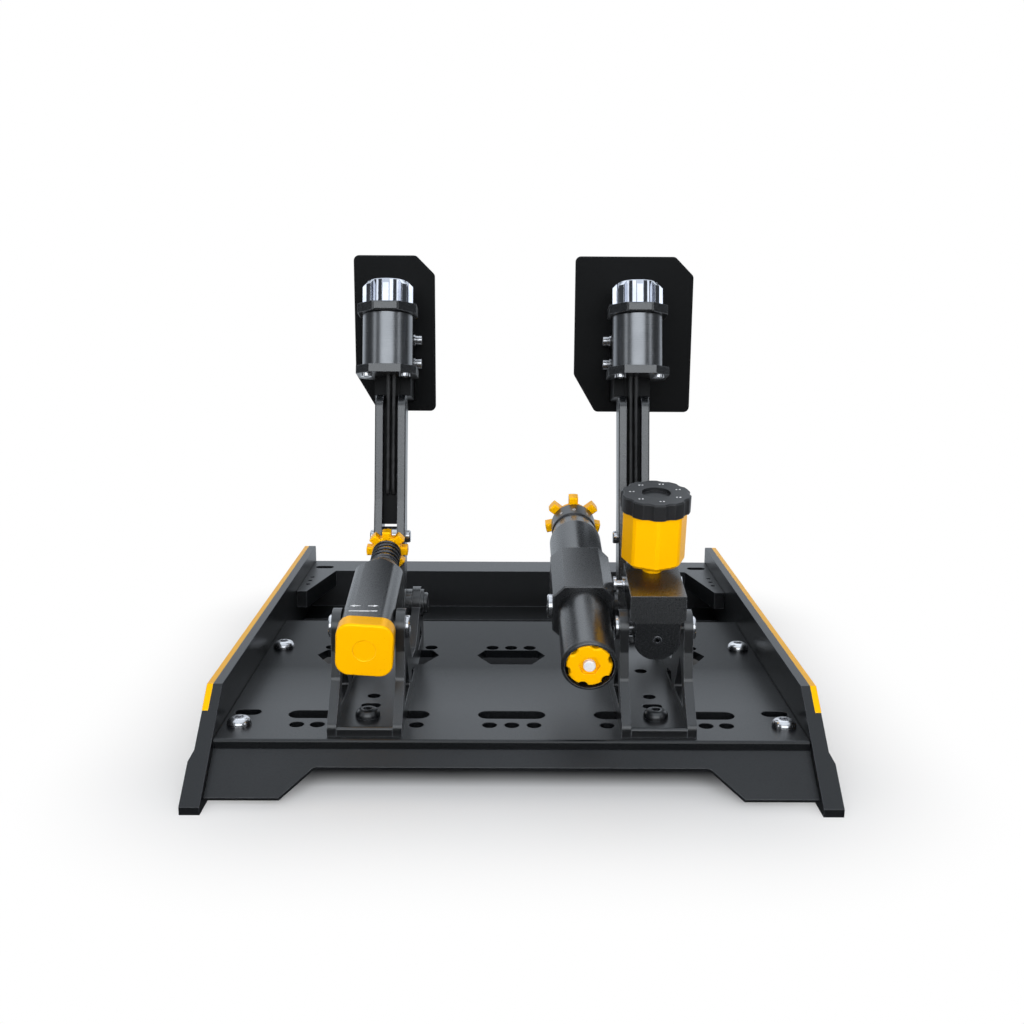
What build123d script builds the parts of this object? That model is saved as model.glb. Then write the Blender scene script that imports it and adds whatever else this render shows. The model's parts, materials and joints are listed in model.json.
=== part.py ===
from build123d import *
from math import atan2, cos, degrees, hypot, pi, radians, sin, sqrt
import os

os.makedirs("parts", exist_ok=True)

# Two-pedal racing set: throttle on the left, brake on the right, seen from the toe end.
# X runs left to right, Y from the toe end to the heel end, Z up from the floor.
# Distances named "from_toe" are measured along Y from the tips of the side rails.

# Overall
overall_length = 450.0
pedal_spacing = 186.0
overrun = 2.0
seat_gap = 0.2
running_fit = 0.05

# Side rails: a tall plate on a thicker foot, with a sloped toe and an inner ledge
rail_inner = 187.5
rail_thickness = 9.8
foot_extra = 2.7
foot_height = 23.5
foot_bevel_height = 5.0
rail_height = 57.7
toe_tip_height = 5.0
toe_slope_length = 69.6
rail_end_radius = 2.5
ledge_width = 24.0
ledge_thickness = 6.0
ledge_from_toe = 54.0
ledge_length = 230.0

# Accent strips let into the outer top corner of each rail
strip_height = 12.2
strip_depth = 3.8
strip_proud = 0.3

# Base plate
plate_thickness = 6.0
plate_top = 32.4
plate_from_toe = 38.0
plate_length = 250.5
plate_edge_radius = 2.0
row_hole_radius = 4.8
row_pitch = 14.4
near_row_from_toe = 63.2
far_row_from_toe = 219.7
outer_hole_offset = 46.2
second_hole_offset = 32.8
inner_hole_offset = 31.1
near_slot_from_toe = 81.0
near_slot_length = 93.0
near_slot_width = 14.0
centre_slot_length = 44.6
slot_shift = 8.1
far_slot_from_toe = 201.0
far_slot_half = 46.3
centre_far_half = 26.0
far_slot_heel_depth = 12.5
far_slot_toe_depth = 20.0
far_slot_heel_inset = 6.0
far_slot_toe_inset = 10.7
far_slot_corner = 1.5
adjust_slot_from_toe = 84.3
adjust_slot_centre = 175.0
adjust_slot_length = 17.5
adjust_slot_width = 10.0

# Silver dome bolts that hold the base plate to the ledges
base_bolt_x = 176.2
base_bolt_near_from_toe = 63.0
base_bolt_far_from_toe = 219.6
dome_head_radius = 8.0
dome_head_height = 5.2
dome_shank_radius = 4.0
dome_crown_radius = 4.4
dome_socket = 5.6
dome_socket_depth = 2.4

# Toe skirt: a folded sheet parallel to the toe slope
skirt_thickness = 3.0
skirt_foot_from_toe = 9.5
skirt_foot_height = 6.7
skirt_top_from_toe = 37.6
skirt_flange = 13.0
skirt_cut_half_top = 123.0
skirt_cut_half_foot = 142.0
skirt_cut_depth = 21.5
skirt_cut_corner = 5.0

# Heel beam: a Z section between the rails, with a wing along each rail
beam_top = 43.0
beam_from_heel = 39.0
beam_web = 7.0
beam_cap_thickness = 8.0
beam_flange_from_heel = 81.0
beam_flange_height = 9.0
wing_from_heel = 109.0
wing_thickness = 14.5
wing_root_width = 24.5
wing_tip_width = 8.5
heel_slot_from_heel = 26.0
heel_slot_inset = 12.0
heel_slot_length = 17.0
heel_slot_width = 9.0
wing_hole_radius = 2.1
wing_hole_inset = 6.0
wing_hole_from_heel = 86.0
wing_hole_pitch = 12.0
wing_channel_width = 5.0
wing_channel_depth = 3.0
wing_channel_length = 40.0

# Pedal brackets: a floor plate between two cheek plates
bracket_width = 47.4
cheek_thickness = 6.0
floor_thickness = 6.2
bracket_from_toe = 43.0
bracket_length = 196.0
bracket_slot_from_toe = 81.5
bracket_slot_length = 13.0
bracket_slot_width = 8.5
bracket_hole_from_toe = 99.0
bracket_hole_radius = 4.4
bracket_hole_far_from_toe = 150.0
trunnion_from_toe = 83.0
trunnion_height = 92.5
tower_radius = 12.0
pivot_from_toe = 215.7
pivot_height = 69.7
pivot_tower_radius = 12.5
pivot_boss_radius = 10.5
pivot_boss_depth = 2.2
cheek_corner = 6.0
cheek_toe_height = 6.9
cheek_heel_height = 12.9

# Outline of a cheek: shares of the way from trunnion to pivot, and of the trunnion's height
cheek_outline_shares = (
    (-0.2497, 0.215),
    (-0.1286, 0.49),
    (-0.0976, 0.79),
    (-0.0904, 1.0),
    (0.0906, 1.0),
    (0.1121, 0.875),
    (0.3189, 0.40),
    (0.5848, 0.33),
    (0.9057, 0.62),
    (1.0942, 0.62),
    (1.1254, 0.40),
)
near_window_shares = ((-0.1463, 0.19), (0.1786, 0.19), (0.0161, 0.68))
far_window_shares = ((0.7177, 0.15), (1.05, 0.15), (0.954, 0.36))
mid_window_shares = ((0.2672, 0.135), (0.57, 0.135), (0.4075, 0.215), (0.2967, 0.27))
window_corner = 1.8

# Trunnion bolts and pivot axles
trunnion_pin_radius = 4.0
trunnion_pin_reach = 8.0
trunnion_head_radius = 7.5
trunnion_head_height = 2.6
axle_radius = 6.0
axle_head_radius = 8.0
axle_head_height = 3.2
hex_socket = 6.0
hex_socket_depth = 1.8

# Pedal arms: two plates with a core set back between them
arm_width = 23.5
arm_plate_thickness = 6.0
arm_length = 160.0
arm_foot_radius = 12.0
arm_waist_radius = 9.8
arm_waist_from_pivot = 78.0
arm_clevis_radius = 12.0
arm_top_radius = 11.0
arm_boss_radius = 10.5
clevis_from_pivot = 51.0
clevis_lean_degrees = 14.0
clevis_pin_radius = 3.5
clevis_head_radius = 4.8
clevis_head_height = 3.6
open_pivot_clearance = 0.6
core_eye_clearance = 2.0
core_front = -0.5
core_back = 8.5
core_head_length = 24.0
core_head_front = 3.0
carrier_face = 6.0
core_corner = 2.0
carrier_half_width = 14.0
carrier_foot = 8.0
carrier_clearance = 2.4

# Pads
pad_height = 124.2
pad_rise = 105.55
pad_behind_arm = 50.6
pad_thickness = 5.0
throttle_pad_width = 64.5
throttle_pad_shift = -1.5
brake_pad_width = 94.5
brake_pad_shift = 4.4
pad_corner = 4.5
pad_top_cut = 15.0
pad_foot_cut_width = 17.5
pad_foot_cut_height = 30.0
pad_edge = 0.8
pad_screw_radius = 2.5
pad_screw_head_radius = 5.0
pad_screw_head_height = 2.6
pad_screw_length = 8.0
pad_screw_spacing = 20.0
pad_screw_drop = 82.5

# Vibration motors
motor_above_arm = 14.6
motor_shift = 3.5
motor_plate_width = 46.0
motor_plate_thickness = 6.2
motor_plate_cut = 11.0
motor_radius = 19.2
motor_length = 41.0
motor_edge = 1.0
clamp_width = 45.0
clamp_thickness = 7.0
clamp_cut = 13.0
fluted_cap_length = 18.5
fluted_cap_radius = 16.2
fluted_fin_radius = 19.6
fluted_fin_width = 5.0
fluted_fin_count = 8
fluted_cap_bevel = 4.0
cap_bore_radius = 9.0
cap_bore_depth = 6.0
cap_screw_radius = 2.5
cap_screw_head_radius = 4.25
cap_screw_head_height = 5.0
cap_screw_length = 9.0
low_head_height = 2.6
motor_screw_length = 5.5
cap_screw_socket = 4.0
side_screw_near_rise = 14.9
side_screw_far_rise = 33.7
side_screw_setback = 6.8
side_washer_radius = 5.2
side_washer_thickness = 1.6
underside_screw_inset = 8.5

# Motor leads, held in the channel between the arm plates
lead_radius = 1.5
lead_spacing = 4.2
lead_front = -5.0
lead_end_from_pivot = 84.0
lead_bend = 4.0
lead_entry = 3.1

# Throttle cylinder, along the line from the trunnions to the clevis
end_cap_near = 33.0
end_cap_thickness = 12.0
end_cap_width = 36.6
end_cap_corner = 9.0
end_cap_turn_degrees = 4.0
end_cap_edge = 1.6
end_cap_dish_radius = 7.4
end_cap_dish_depth = 0.7
end_cap_spindle_radius = 6.0
end_cap_spindle_length = 7.0
housing_width = 33.4
housing_corner = 7.5
housing_taper_start = 62.0
housing_end = 86.7
housing_nose_radius = 10.4
housing_shoulder_radius = 19.5
rod_radius = 4.0
rod_tail = 26.0
rod_bore_end = 9.0
rod_eye_radius = 7.5
rod_eye_width = 10.8
star_gap_to_clevis = 21.0
star_thickness = 8.2
star_hub_radius = 11.0
star_radius = 15.5
star_lobe_width = 6.6
star_lobes = 8
star_edge = 0.9
spring_wire_radius = 1.05
spring_radius = 9.6
spring_turns = 6
spring_end_pitch = 2.75
spring_seat_gap = 0.1

# Brake master cylinder
master_near = 17.0
master_radius = 15.0
master_barrel_end = 66.0
master_snout_radius = 9.0
master_snout_end = 78.0
master_block_width = 35.8
master_block_foot = 14.0
master_block_bevel = 2.8
master_block_top = 28.6
master_band_foot = 11.6
master_band_depth = 5.0
master_block_end = 38.0
master_edge = 0.8
bleed_hole_radius = 1.6
bleed_hole_depth = 6.0
bleed_rim_radius = 2.6
bleed_rim_height = 0.5
brake_rod_tail = 40.0

# Fluid reservoir on the master block
reservoir_along = 28.0
reservoir_neck_radius = 6.5
reservoir_neck_height = 7.4
reservoir_radius = 20.9
reservoir_flats = 39.6
reservoir_flat_count = 8
reservoir_height = 36.7
reservoir_edge = 2.4
reservoir_cap_radius = 22.8
reservoir_cap_height = 11.0
reservoir_cap_flutes = 10
reservoir_cap_flute_radius = 6.5
reservoir_cap_flute_depth = 1.3
reservoir_cap_edge = 0.9
reservoir_cap_dish_radius = 9.5
reservoir_cap_dish_depth = 2.6

# Slave cylinder beside the master cylinder
slave_offset = 46.0
slave_from_toe = 28.0
slave_height = 84.6
slave_rise_degrees = 12.5
slave_tube_radius = 17.0
slave_lip_radius = 17.4
slave_lip_length = 4.0
slave_lip_round = 2.5
slave_tube_bore = 15.2
slave_tube_depth = 16.0
slave_block_start = 66.0
slave_block_length = 58.0
slave_block_width = 40.5
slave_block_cut = 7.5
slave_block_side_step = 2.5
slave_barrel_radius = 18.8
slave_barrel_length = 48.0
slave_taper_length = 18.0
slave_barrel_end_radius = 15.5
dial_radius = 16.6
dial_thickness = 16.5
dial_gap = 0.3
far_knob_thickness = 9.5
far_knob_hub_radius = 13.4
far_knob_radius = 21.2
far_knob_lobe_width = 7.0
far_knob_lobes = 7
near_knob_radius = 14.2
near_knob_thickness = 9.0
near_knob_recess = 1.2
near_knob_lobes = 6
near_knob_scallop_radius = 3.6
near_knob_scallop_centre = 15.8
near_knob_turn_degrees = 44.0
near_knob_hex = 12.0
near_knob_hex_depth = 2.2
knob_spindle_radius = 5.0
knob_spindle_length = 6.0
set_screw_radius = 3.8
set_screw_proud = 1.0
side_bolt_along = 76.0
side_bolt_radius = 8.0
side_bolt_height = 3.4
side_bolt_pin = 5.0
side_bolt_shank = 4.0
link_along = 25.0
link_above = 19.0
link_radius = 3.0
link_collar_radius = 5.4
link_head_radius = 5.6
link_head_height = 2.0


# Places worked out from the sizes above
toe_y = -overall_length / 2
throttle_x = -pedal_spacing / 2
brake_x = pedal_spacing / 2
floor_top = plate_top + floor_thickness
trunnion_y = toe_y + trunnion_from_toe
pivot_y = toe_y + pivot_from_toe
lean = radians(clevis_lean_degrees)
clevis_y = pivot_y + clevis_from_pivot * sin(lean)
clevis_z = pivot_height + clevis_from_pivot * cos(lean)
stroke_length = hypot(clevis_y - trunnion_y, clevis_z - trunnion_height)
rise = atan2(clevis_z - trunnion_height, clevis_y - trunnion_y)
slave_x = brake_x - slave_offset
slave_rise = radians(slave_rise_degrees)
cheek_inner = bracket_width / 2 - cheek_thickness
arm_gap = arm_width - 2 * arm_plate_thickness
motor_from_pivot = arm_length + motor_above_arm
pad_top = pivot_height + arm_length * cos(lean) + pad_rise
pad_y = pivot_y + arm_length * sin(lean) + pad_behind_arm
core_from_pivot = clevis_from_pivot + rod_eye_radius + core_eye_clearance


def arm_point(along, back):
    """Point in the side view, measured up a pedal arm from its pivot and back from its line."""
    y = pivot_y + along * sin(lean) + back * cos(lean)
    z = pivot_height + along * cos(lean) - back * sin(lean)
    return y, z


def arm_plane(x, along):
    """Plane square to a pedal arm, with its own Y axis toward the heel."""
    y, z = arm_point(along, 0)
    return Plane(origin=(x, y, z), x_dir=(1, 0, 0), z_dir=(0, sin(lean), cos(lean)))


def stroke_point(along, up):
    """Point in the side view, measured along the line from trunnion to clevis and up from it."""
    y = trunnion_y + along * cos(rise) - up * sin(rise)
    z = trunnion_height + along * sin(rise) + up * cos(rise)
    return y, z


def stroke_plane(x, along):
    """Plane square to the line from trunnion to clevis, with its own Y axis upward."""
    y = trunnion_y + along * cos(rise)
    z = trunnion_height + along * sin(rise)
    return Plane(origin=(x, y, z), x_dir=(-1, 0, 0), z_dir=(0, cos(rise), sin(rise)))


def slave_plane(along):
    """Plane square to the slave cylinder, with its own Y axis upward."""
    y = toe_y + slave_from_toe + along * cos(slave_rise)
    z = slave_height + along * sin(slave_rise)
    facing = (0, cos(slave_rise), sin(slave_rise))
    return Plane(origin=(slave_x, y, z), x_dir=(-1, 0, 0), z_dir=facing)


def finish(piece, name):
    """Label a finished piece and write its file."""
    piece.part.label = name
    export_step(piece.part, f"parts/{name}.step")


def side_rail(side):
    """One side rail: sloped toe, thick foot, recess for the strip and inner ledge."""
    with BuildPart() as rail:
        with BuildSketch(Plane.YZ.offset(side * rail_inner)):
            Polygon(
                (toe_y, 0),
                (toe_y, toe_tip_height),
                (toe_y + toe_slope_length, rail_height),
                (toe_y + overall_length, rail_height),
                (toe_y + overall_length, 0),
                align=None,
            )
        extrude(amount=side * (rail_thickness + foot_extra))
        fillet(rail.edges().filter_by(Axis.X).group_by(Axis.Y)[-1], rail_end_radius)
        with BuildSketch(Plane.XZ.offset(toe_y)):
            outer = rail_inner + rail_thickness
            Polygon(
                (side * outer, foot_height + foot_bevel_height),
                (side * (outer + foot_extra), foot_height),
                (side * (outer + foot_extra + overrun), foot_height),
                (side * (outer + foot_extra + overrun), rail_height + overrun),
                (side * outer, rail_height + overrun),
                align=None,
            )
            Polygon(
                (side * (outer - strip_depth), rail_height - strip_height),
                (side * (outer + overrun), rail_height - strip_height),
                (side * (outer + overrun), rail_height + overrun),
                (side * (outer - strip_depth), rail_height + overrun),
                align=None,
            )
        extrude(amount=overall_length, mode=Mode.SUBTRACT)
        with BuildSketch(Plane.XY.offset(plate_top - plate_thickness)):
            with Locations((side * (rail_inner - ledge_width / 2),
                            toe_y + ledge_from_toe + ledge_length / 2)):
                Rectangle(ledge_width, ledge_length)
        extrude(amount=-ledge_thickness)
        with Locations(*[(side * base_bolt_x, y, plate_top - plate_thickness)
                         for y in base_bolt_rows]):
            Hole(dome_shank_radius + running_fit)
    return rail


def accent_strip(side):
    """Bright strip in the recess along a rail's outer top corner."""
    foot = rail_height - strip_height
    slope = (rail_height - toe_tip_height) / toe_slope_length
    start = toe_y + (foot - toe_tip_height) / slope
    inner = rail_inner + rail_thickness - strip_depth
    with BuildPart() as strip:
        with BuildSketch(Plane.YZ.offset(side * inner)):
            Polygon(
                (start, foot),
                (toe_y + toe_slope_length, rail_height),
                (toe_y + overall_length - rail_end_radius, rail_height),
                (toe_y + overall_length, rail_height - rail_end_radius),
                (toe_y + overall_length, foot),
                align=None,
            )
        extrude(amount=side * (strip_depth + strip_proud))
        chamfer(strip.faces().sort_by(Axis.X)[0 if side < 0 else -1].edges(), strip_proud)
    return strip


def dome_bolts(planes, shank_length):
    """A group of dome-headed bolts with rounded crowns and hexagon sockets."""
    with BuildPart() as bolts:
        for plane in planes:
            with BuildSketch(plane):
                Circle(dome_head_radius)
            extrude(amount=dome_head_height)
            with BuildSketch(plane):
                Circle(dome_shank_radius)
            extrude(amount=-shank_length)
        crowns = bolts.edges().filter_by(GeomType.CIRCLE).group_by(Axis.Z)[-1]
        fillet(crowns, dome_crown_radius)
        for plane in planes:
            with BuildSketch(plane.offset(dome_head_height)):
                RegularPolygon(dome_socket / 2, 6, major_radius=False)
            extrude(amount=-dome_socket_depth, mode=Mode.SUBTRACT)
    return bolts


def bracket_floor(x):
    """Floor plate of a pedal bracket."""
    with BuildPart() as floor:
        with BuildSketch(Plane.XY.offset(plate_top)):
            with Locations((x, toe_y + bracket_from_toe + bracket_length / 2)):
                Rectangle(2 * cheek_inner, bracket_length)
            with Locations((x, toe_y + bracket_slot_from_toe)):
                SlotOverall(bracket_slot_length, bracket_slot_width, mode=Mode.SUBTRACT)
            with Locations((x, toe_y + bracket_hole_from_toe),
                           (x, toe_y + bracket_hole_far_from_toe)):
                Circle(bracket_hole_radius, mode=Mode.SUBTRACT)
            with Locations((x, toe_y + near_row_from_toe), (x, toe_y + far_row_from_toe)):
                Circle(dome_shank_radius + running_fit, mode=Mode.SUBTRACT)
        extrude(amount=floor_thickness)
        near_top = floor.edges().filter_by(Axis.X).group_by(Axis.Y)[0].sort_by(Axis.Z)[-1]
        fillet(near_top, plate_edge_radius)
    return floor


def bracket_point(share):
    """Point in the side view from shares of the way to the pivot and of the trunnion height."""
    y = trunnion_y + share[0] * (pivot_y - trunnion_y)
    z = plate_top + share[1] * (trunnion_height - plate_top)
    return y, z


def bracket_cheek(x, side):
    """Cheek plate with a trunnion tower, a pivot tower and a trussed web between them."""
    inner = x + side * cheek_inner
    near = toe_y + bracket_from_toe
    far = near + bracket_length
    towers = [bracket_point(share) for share in cheek_outline_shares]
    with BuildPart() as cheek:
        with BuildSketch(Plane.YZ.offset(inner)) as outline:
            Polygon(
                (near, plate_top),
                (near, plate_top + cheek_toe_height),
                *towers,
                (far, plate_top + cheek_heel_height),
                (far, plate_top),
                align=None,
            )
            fillet(outline.vertices().group_by(Axis.Y)[1:-1], cheek_corner)
            with Locations((trunnion_y, trunnion_height)):
                Circle(tower_radius)
            with Locations((pivot_y, pivot_height)):
                Circle(pivot_tower_radius)
            for shares in (near_window_shares, mid_window_shares, far_window_shares):
                with BuildSketch(mode=Mode.SUBTRACT) as window:
                    Polygon(*[bracket_point(share) for share in shares], align=None)
                    fillet(window.vertices(), window_corner)
            with Locations((trunnion_y, trunnion_height)):
                Circle(trunnion_pin_radius + running_fit, mode=Mode.SUBTRACT)
            with Locations((pivot_y, pivot_height)):
                Circle(axle_radius + running_fit, mode=Mode.SUBTRACT)
        extrude(amount=side * cheek_thickness)
        with BuildSketch(Plane.YZ.offset(inner + side * cheek_thickness)):
            with Locations((pivot_y, pivot_height)):
                Circle(pivot_boss_radius)
                Circle(axle_radius + running_fit, mode=Mode.SUBTRACT)
        extrude(amount=side * pivot_boss_depth)
    return cheek


def across_bolt(plane, head_radius, head_height, pin_radius, pin_length):
    """Round-headed bolt with a hexagon socket, its head in front of the plane."""
    with BuildPart() as bolt:
        with BuildSketch(plane):
            Circle(head_radius)
            RegularPolygon(hex_socket / 2, 6, major_radius=False, mode=Mode.SUBTRACT)
        extrude(amount=head_height)
        with BuildSketch(plane):
            Circle(head_radius)
        extrude(amount=head_height - hex_socket_depth)
        with BuildSketch(plane):
            Circle(pin_radius)
        extrude(amount=-pin_length)
        rims = bolt.edges().filter_by(GeomType.CIRCLE).group_by(SortBy.RADIUS)[-1]
        outward = Axis(plane.origin, plane.z_dir)
        chamfer(rims.sort_by(outward)[-1], head_height / 4)
    return bolt.part


def outward_plane(x, y, z, side):
    """Plane at a place, facing left or right."""
    return Plane(origin=(x, y, z), x_dir=(0, 1, 0), z_dir=(side, 0, 0))


def pivot_axle(x):
    """Pivot axle across both cheeks, with a head at each end."""
    reach = cheek_inner + cheek_thickness + pivot_boss_depth
    halves = []
    for side in (-1, 1):
        face = outward_plane(x + side * reach, pivot_y, pivot_height, side)
        halves.append(across_bolt(face, axle_head_radius, axle_head_height, axle_radius, reach))
    with BuildPart() as axle:
        add(halves)
    return axle


def arm_plate(x, side):
    """One side plate of a pedal arm, waisted above the clevis, with a boss at the pivot."""
    inner = x + side * arm_gap / 2
    stations = (
        (0, arm_foot_radius),
        (clevis_from_pivot, arm_clevis_radius),
        (arm_waist_from_pivot, arm_waist_radius),
        (arm_length - arm_top_radius, arm_top_radius),
    )
    with BuildPart() as plate:
        with BuildSketch(Plane.YZ.offset(inner)):
            for (start, start_radius), (end, end_radius) in zip(stations[:-1], stations[1:]):
                with BuildSketch():
                    with Locations(arm_point(start, 0)):
                        Circle(start_radius)
                    with Locations(arm_point(end, 0)):
                        Circle(end_radius)
                    make_hull()
            with Locations(arm_point(0, 0)):
                Circle(axle_radius + running_fit, mode=Mode.SUBTRACT)
            with Locations(arm_point(clevis_from_pivot, 0)):
                Circle(clevis_pin_radius + running_fit, mode=Mode.SUBTRACT)
        extrude(amount=side * arm_plate_thickness)
        outer = plate.faces().sort_by(Axis.X)[0 if side < 0 else -1]
        chamfer(outer.outer_wire().edges(), pad_edge)
        with BuildSketch(Plane.YZ.offset(inner + side * arm_plate_thickness)):
            with Locations(arm_point(0, 0)):
                Circle(arm_boss_radius)
                Circle(axle_radius + running_fit, mode=Mode.SUBTRACT)
        extrude(amount=side * (cheek_inner - arm_width / 2 - seat_gap))
    return plate


def arm_core(x):
    """Core between the arm plates, its head under the motor and the carrier behind it."""
    carrier_front = motor_plate_width / 2 + carrier_clearance
    head_foot = motor_from_pivot - core_head_length
    carrier_top = motor_from_pivot + motor_plate_thickness + motor_length * 0.82
    lean_back = (pad_y - arm_point(carrier_top, 0)[0]) / cos(lean)
    foot_z = pad_top - pad_height + carrier_foot
    with BuildPart() as core:
        with BuildSketch(Plane.YZ.offset(x - arm_gap / 2 + seat_gap / 4)):
            Polygon(
                arm_point(core_from_pivot, core_front),
                arm_point(head_foot, core_front),
                arm_point(arm_length, core_head_front),
                arm_point(motor_from_pivot, core_head_front),
                arm_point(motor_from_pivot, core_back),
                arm_point(core_from_pivot, core_back),
                align=None,
            )
        extrude(amount=arm_gap - seat_gap / 2)
        with BuildSketch(Plane.YZ.offset(x - carrier_half_width)):
            Polygon(
                arm_point(arm_length + seat_gap, carrier_face),
                arm_point(motor_from_pivot, carrier_face),
                arm_point(motor_from_pivot, carrier_front),
                arm_point(carrier_top, carrier_front),
                (pad_y, arm_point(carrier_top, lean_back)[1]),
                (pad_y, foot_z),
                arm_point(arm_length + seat_gap, arm_top_radius + seat_gap),
                align=None,
            )
        extrude(amount=2 * carrier_half_width)
        for plane in side_screw_planes(x):
            with Locations(plane):
                Hole(cap_screw_radius, depth=cap_screw_length)
        for plane in pad_screw_planes(x):
            with Locations(plane):
                Hole(pad_screw_radius, depth=pad_thickness + pad_screw_length + overrun)
        for shift in (-lead_spacing / 2, lead_spacing / 2):
            with BuildSketch(arm_back_plane(x + shift, lead_end_from_pivot)):
                Circle(lead_radius + running_fit)
            extrude(amount=-core_corner, mode=Mode.SUBTRACT)
    return core


def arm_back_plane(x, along):
    """Plane along a pedal arm on its core's front face, facing the toe end."""
    y, z = arm_point(along, core_front)
    return Plane(origin=(x, y, z), x_dir=(1, 0, 0), z_dir=(0, -cos(lean), sin(lean)))


def carrier_side(x):
    """Side of the carrier that the cap screws enter: the inner side of each pedal."""
    return 1 if x < 0 else -1


def side_screw_planes(x):
    """Planes of the two screws in the carrier's inner side."""
    side = carrier_side(x)
    back = motor_plate_width / 2 + carrier_clearance + side_screw_setback
    rises = (side_screw_near_rise, side_screw_far_rise)
    places = [arm_point(motor_from_pivot + climb, back) for climb in rises]
    return [outward_plane(x + side * carrier_half_width, y, z, side) for y, z in places]


def pad_centre(x):
    """Middle of a pad across the set."""
    return x + (throttle_pad_shift if x < 0 else brake_pad_shift)


def pad_screw_planes(x):
    """Planes of the three countersunk screws, on the pad's driver face."""
    y = pad_y + pad_thickness
    z = pad_top - pad_screw_drop
    heights = (z - pad_screw_spacing, z, z + pad_screw_spacing)
    return [Plane(origin=(x, y, h), x_dir=(-1, 0, 0), z_dir=(0, 1, 0)) for h in heights]


def pad(x, width):
    """Flat foot pad with one cut top corner and one long cut foot corner."""
    centre = pad_centre(x)
    left = centre - width / 2
    right = centre + width / 2
    foot = pad_top - pad_height
    with BuildPart() as plate:
        with BuildSketch(Plane.XZ.offset(-(pad_y + pad_thickness))) as face:
            Polygon(
                (left, pad_top),
                (left, foot + pad_foot_cut_height),
                (left + pad_foot_cut_width, foot),
                (right, foot),
                (right, pad_top - pad_top_cut),
                (right - pad_top_cut, pad_top),
                align=None,
            )
            fillet(face.vertices(), pad_corner)
        extrude(amount=pad_thickness)
        chamfer(plate.faces().sort_by(Axis.Y)[0].edges(), pad_edge)
        chamfer(plate.faces().sort_by(Axis.Y)[-1].edges(), pad_edge)
        for plane in pad_screw_planes(x):
            with Locations(plane):
                CounterSinkHole(pad_screw_radius + running_fit, pad_screw_head_radius)
    return plate


def pad_screws(x):
    """Three countersunk screws through a pad."""
    slope = pad_screw_head_height
    with BuildPart() as screws:
        for plane in pad_screw_planes(x):
            with BuildSketch(plane):
                Circle(pad_screw_head_radius - running_fit * 2)
            with BuildSketch(plane.offset(-slope)):
                Circle(pad_screw_radius)
            loft()
            with BuildSketch(plane.offset(-slope)):
                Circle(pad_screw_radius)
            extrude(amount=-(pad_thickness + pad_screw_length - slope))
            with BuildSketch(plane):
                RegularPolygon(cap_screw_socket / 2, 6, major_radius=False)
            extrude(amount=-slope / 2, mode=Mode.SUBTRACT)
    return screws


def cap_screw(plane, head_height, length):
    """Cap screw with its head in front of the plane and its shank behind."""
    with BuildPart() as screw:
        with BuildSketch(plane):
            Circle(cap_screw_head_radius)
        extrude(amount=head_height)
        with BuildSketch(plane):
            Circle(cap_screw_radius - running_fit)
        extrude(amount=-length)
        with BuildSketch(plane.offset(head_height)):
            RegularPolygon(cap_screw_socket / 2, 6, major_radius=False)
        extrude(amount=-head_height / 2, mode=Mode.SUBTRACT)
    return screw.part


def underside_screw_planes(x):
    """Planes of the two screws in the motor plate's underside, facing down."""
    centre = x + motor_shift * (-1 if x < 0 else 1)
    reach = motor_plate_width / 2 - underside_screw_inset
    base = arm_plane(centre, motor_from_pivot)
    places = [(-reach, -reach), (reach, -reach)]
    planes = []
    for across, back in places:
        origin = base.from_local_coords((across, back, 0))
        planes.append(Plane(origin=origin, x_dir=(1, 0, 0), z_dir=-base.z_dir))
    return planes


def cap_screws(x):
    """Two washered screws in the carrier's side and two under the motor plate."""
    singles = []
    for plane in side_screw_planes(x):
        face = plane.offset(side_washer_thickness)
        singles.append(cap_screw(face, cap_screw_head_height, cap_screw_length))
    for plane in underside_screw_planes(x):
        singles.append(cap_screw(plane, low_head_height, motor_screw_length))
    with BuildPart() as screws:
        add(singles)
        for plane in side_screw_planes(x):
            with BuildSketch(plane):
                Circle(side_washer_radius)
            extrude(amount=side_washer_thickness)
    return screws


def clevis_pin(x):
    """Pin through both arm plates with a head at each side."""
    y, z = arm_point(clevis_from_pivot, 0)
    with BuildPart() as pin:
        for side in (-1, 1):
            with BuildSketch(outward_plane(x + side * arm_width / 2, y, z, side)):
                Circle(clevis_head_radius)
            extrude(amount=clevis_head_height)
        with BuildSketch(Plane.YZ.offset(x)):
            with Locations((y, z)):
                Circle(clevis_pin_radius)
        extrude(amount=arm_width / 2, both=True)
        rims = pin.edges().filter_by(GeomType.CIRCLE).group_by(SortBy.RADIUS)[-1]
        chamfer(rims.group_by(Axis.X)[0] + rims.group_by(Axis.X)[-1], clevis_head_height / 5)
    return pin


def cut_square(width, cut):
    """Square with its four corners cut off, drawn into the open sketch."""
    half = width / 2
    Polygon(
        (-half, -half + cut), (-half, half - cut), (-half + cut, half), (half - cut, half),
        (half, half - cut), (half, -half + cut), (half - cut, -half), (-half + cut, -half),
        align=None,
    )


def motor_centre(x):
    """Motor axis across the set: shifted outward from its pedal arm."""
    return x + motor_shift * (-1 if x < 0 else 1)


def motor_mount(x):
    """Cut-cornered plate under the motor."""
    with BuildPart() as mount:
        with BuildSketch(arm_plane(motor_centre(x), motor_from_pivot)):
            cut_square(motor_plate_width, motor_plate_cut)
        extrude(amount=motor_plate_thickness)
        for plane in underside_screw_planes(x):
            with BuildSketch(plane):
                Circle(cap_screw_radius)
            extrude(amount=-motor_plate_thickness, mode=Mode.SUBTRACT)
        for shift in (-lead_spacing / 2, lead_spacing / 2):
            with BuildSketch(arm_plane(x + shift, motor_from_pivot)):
                with Locations((0, lead_front)):
                    Circle(lead_radius + running_fit)
            extrude(amount=lead_entry, mode=Mode.SUBTRACT)
    return mount


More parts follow.
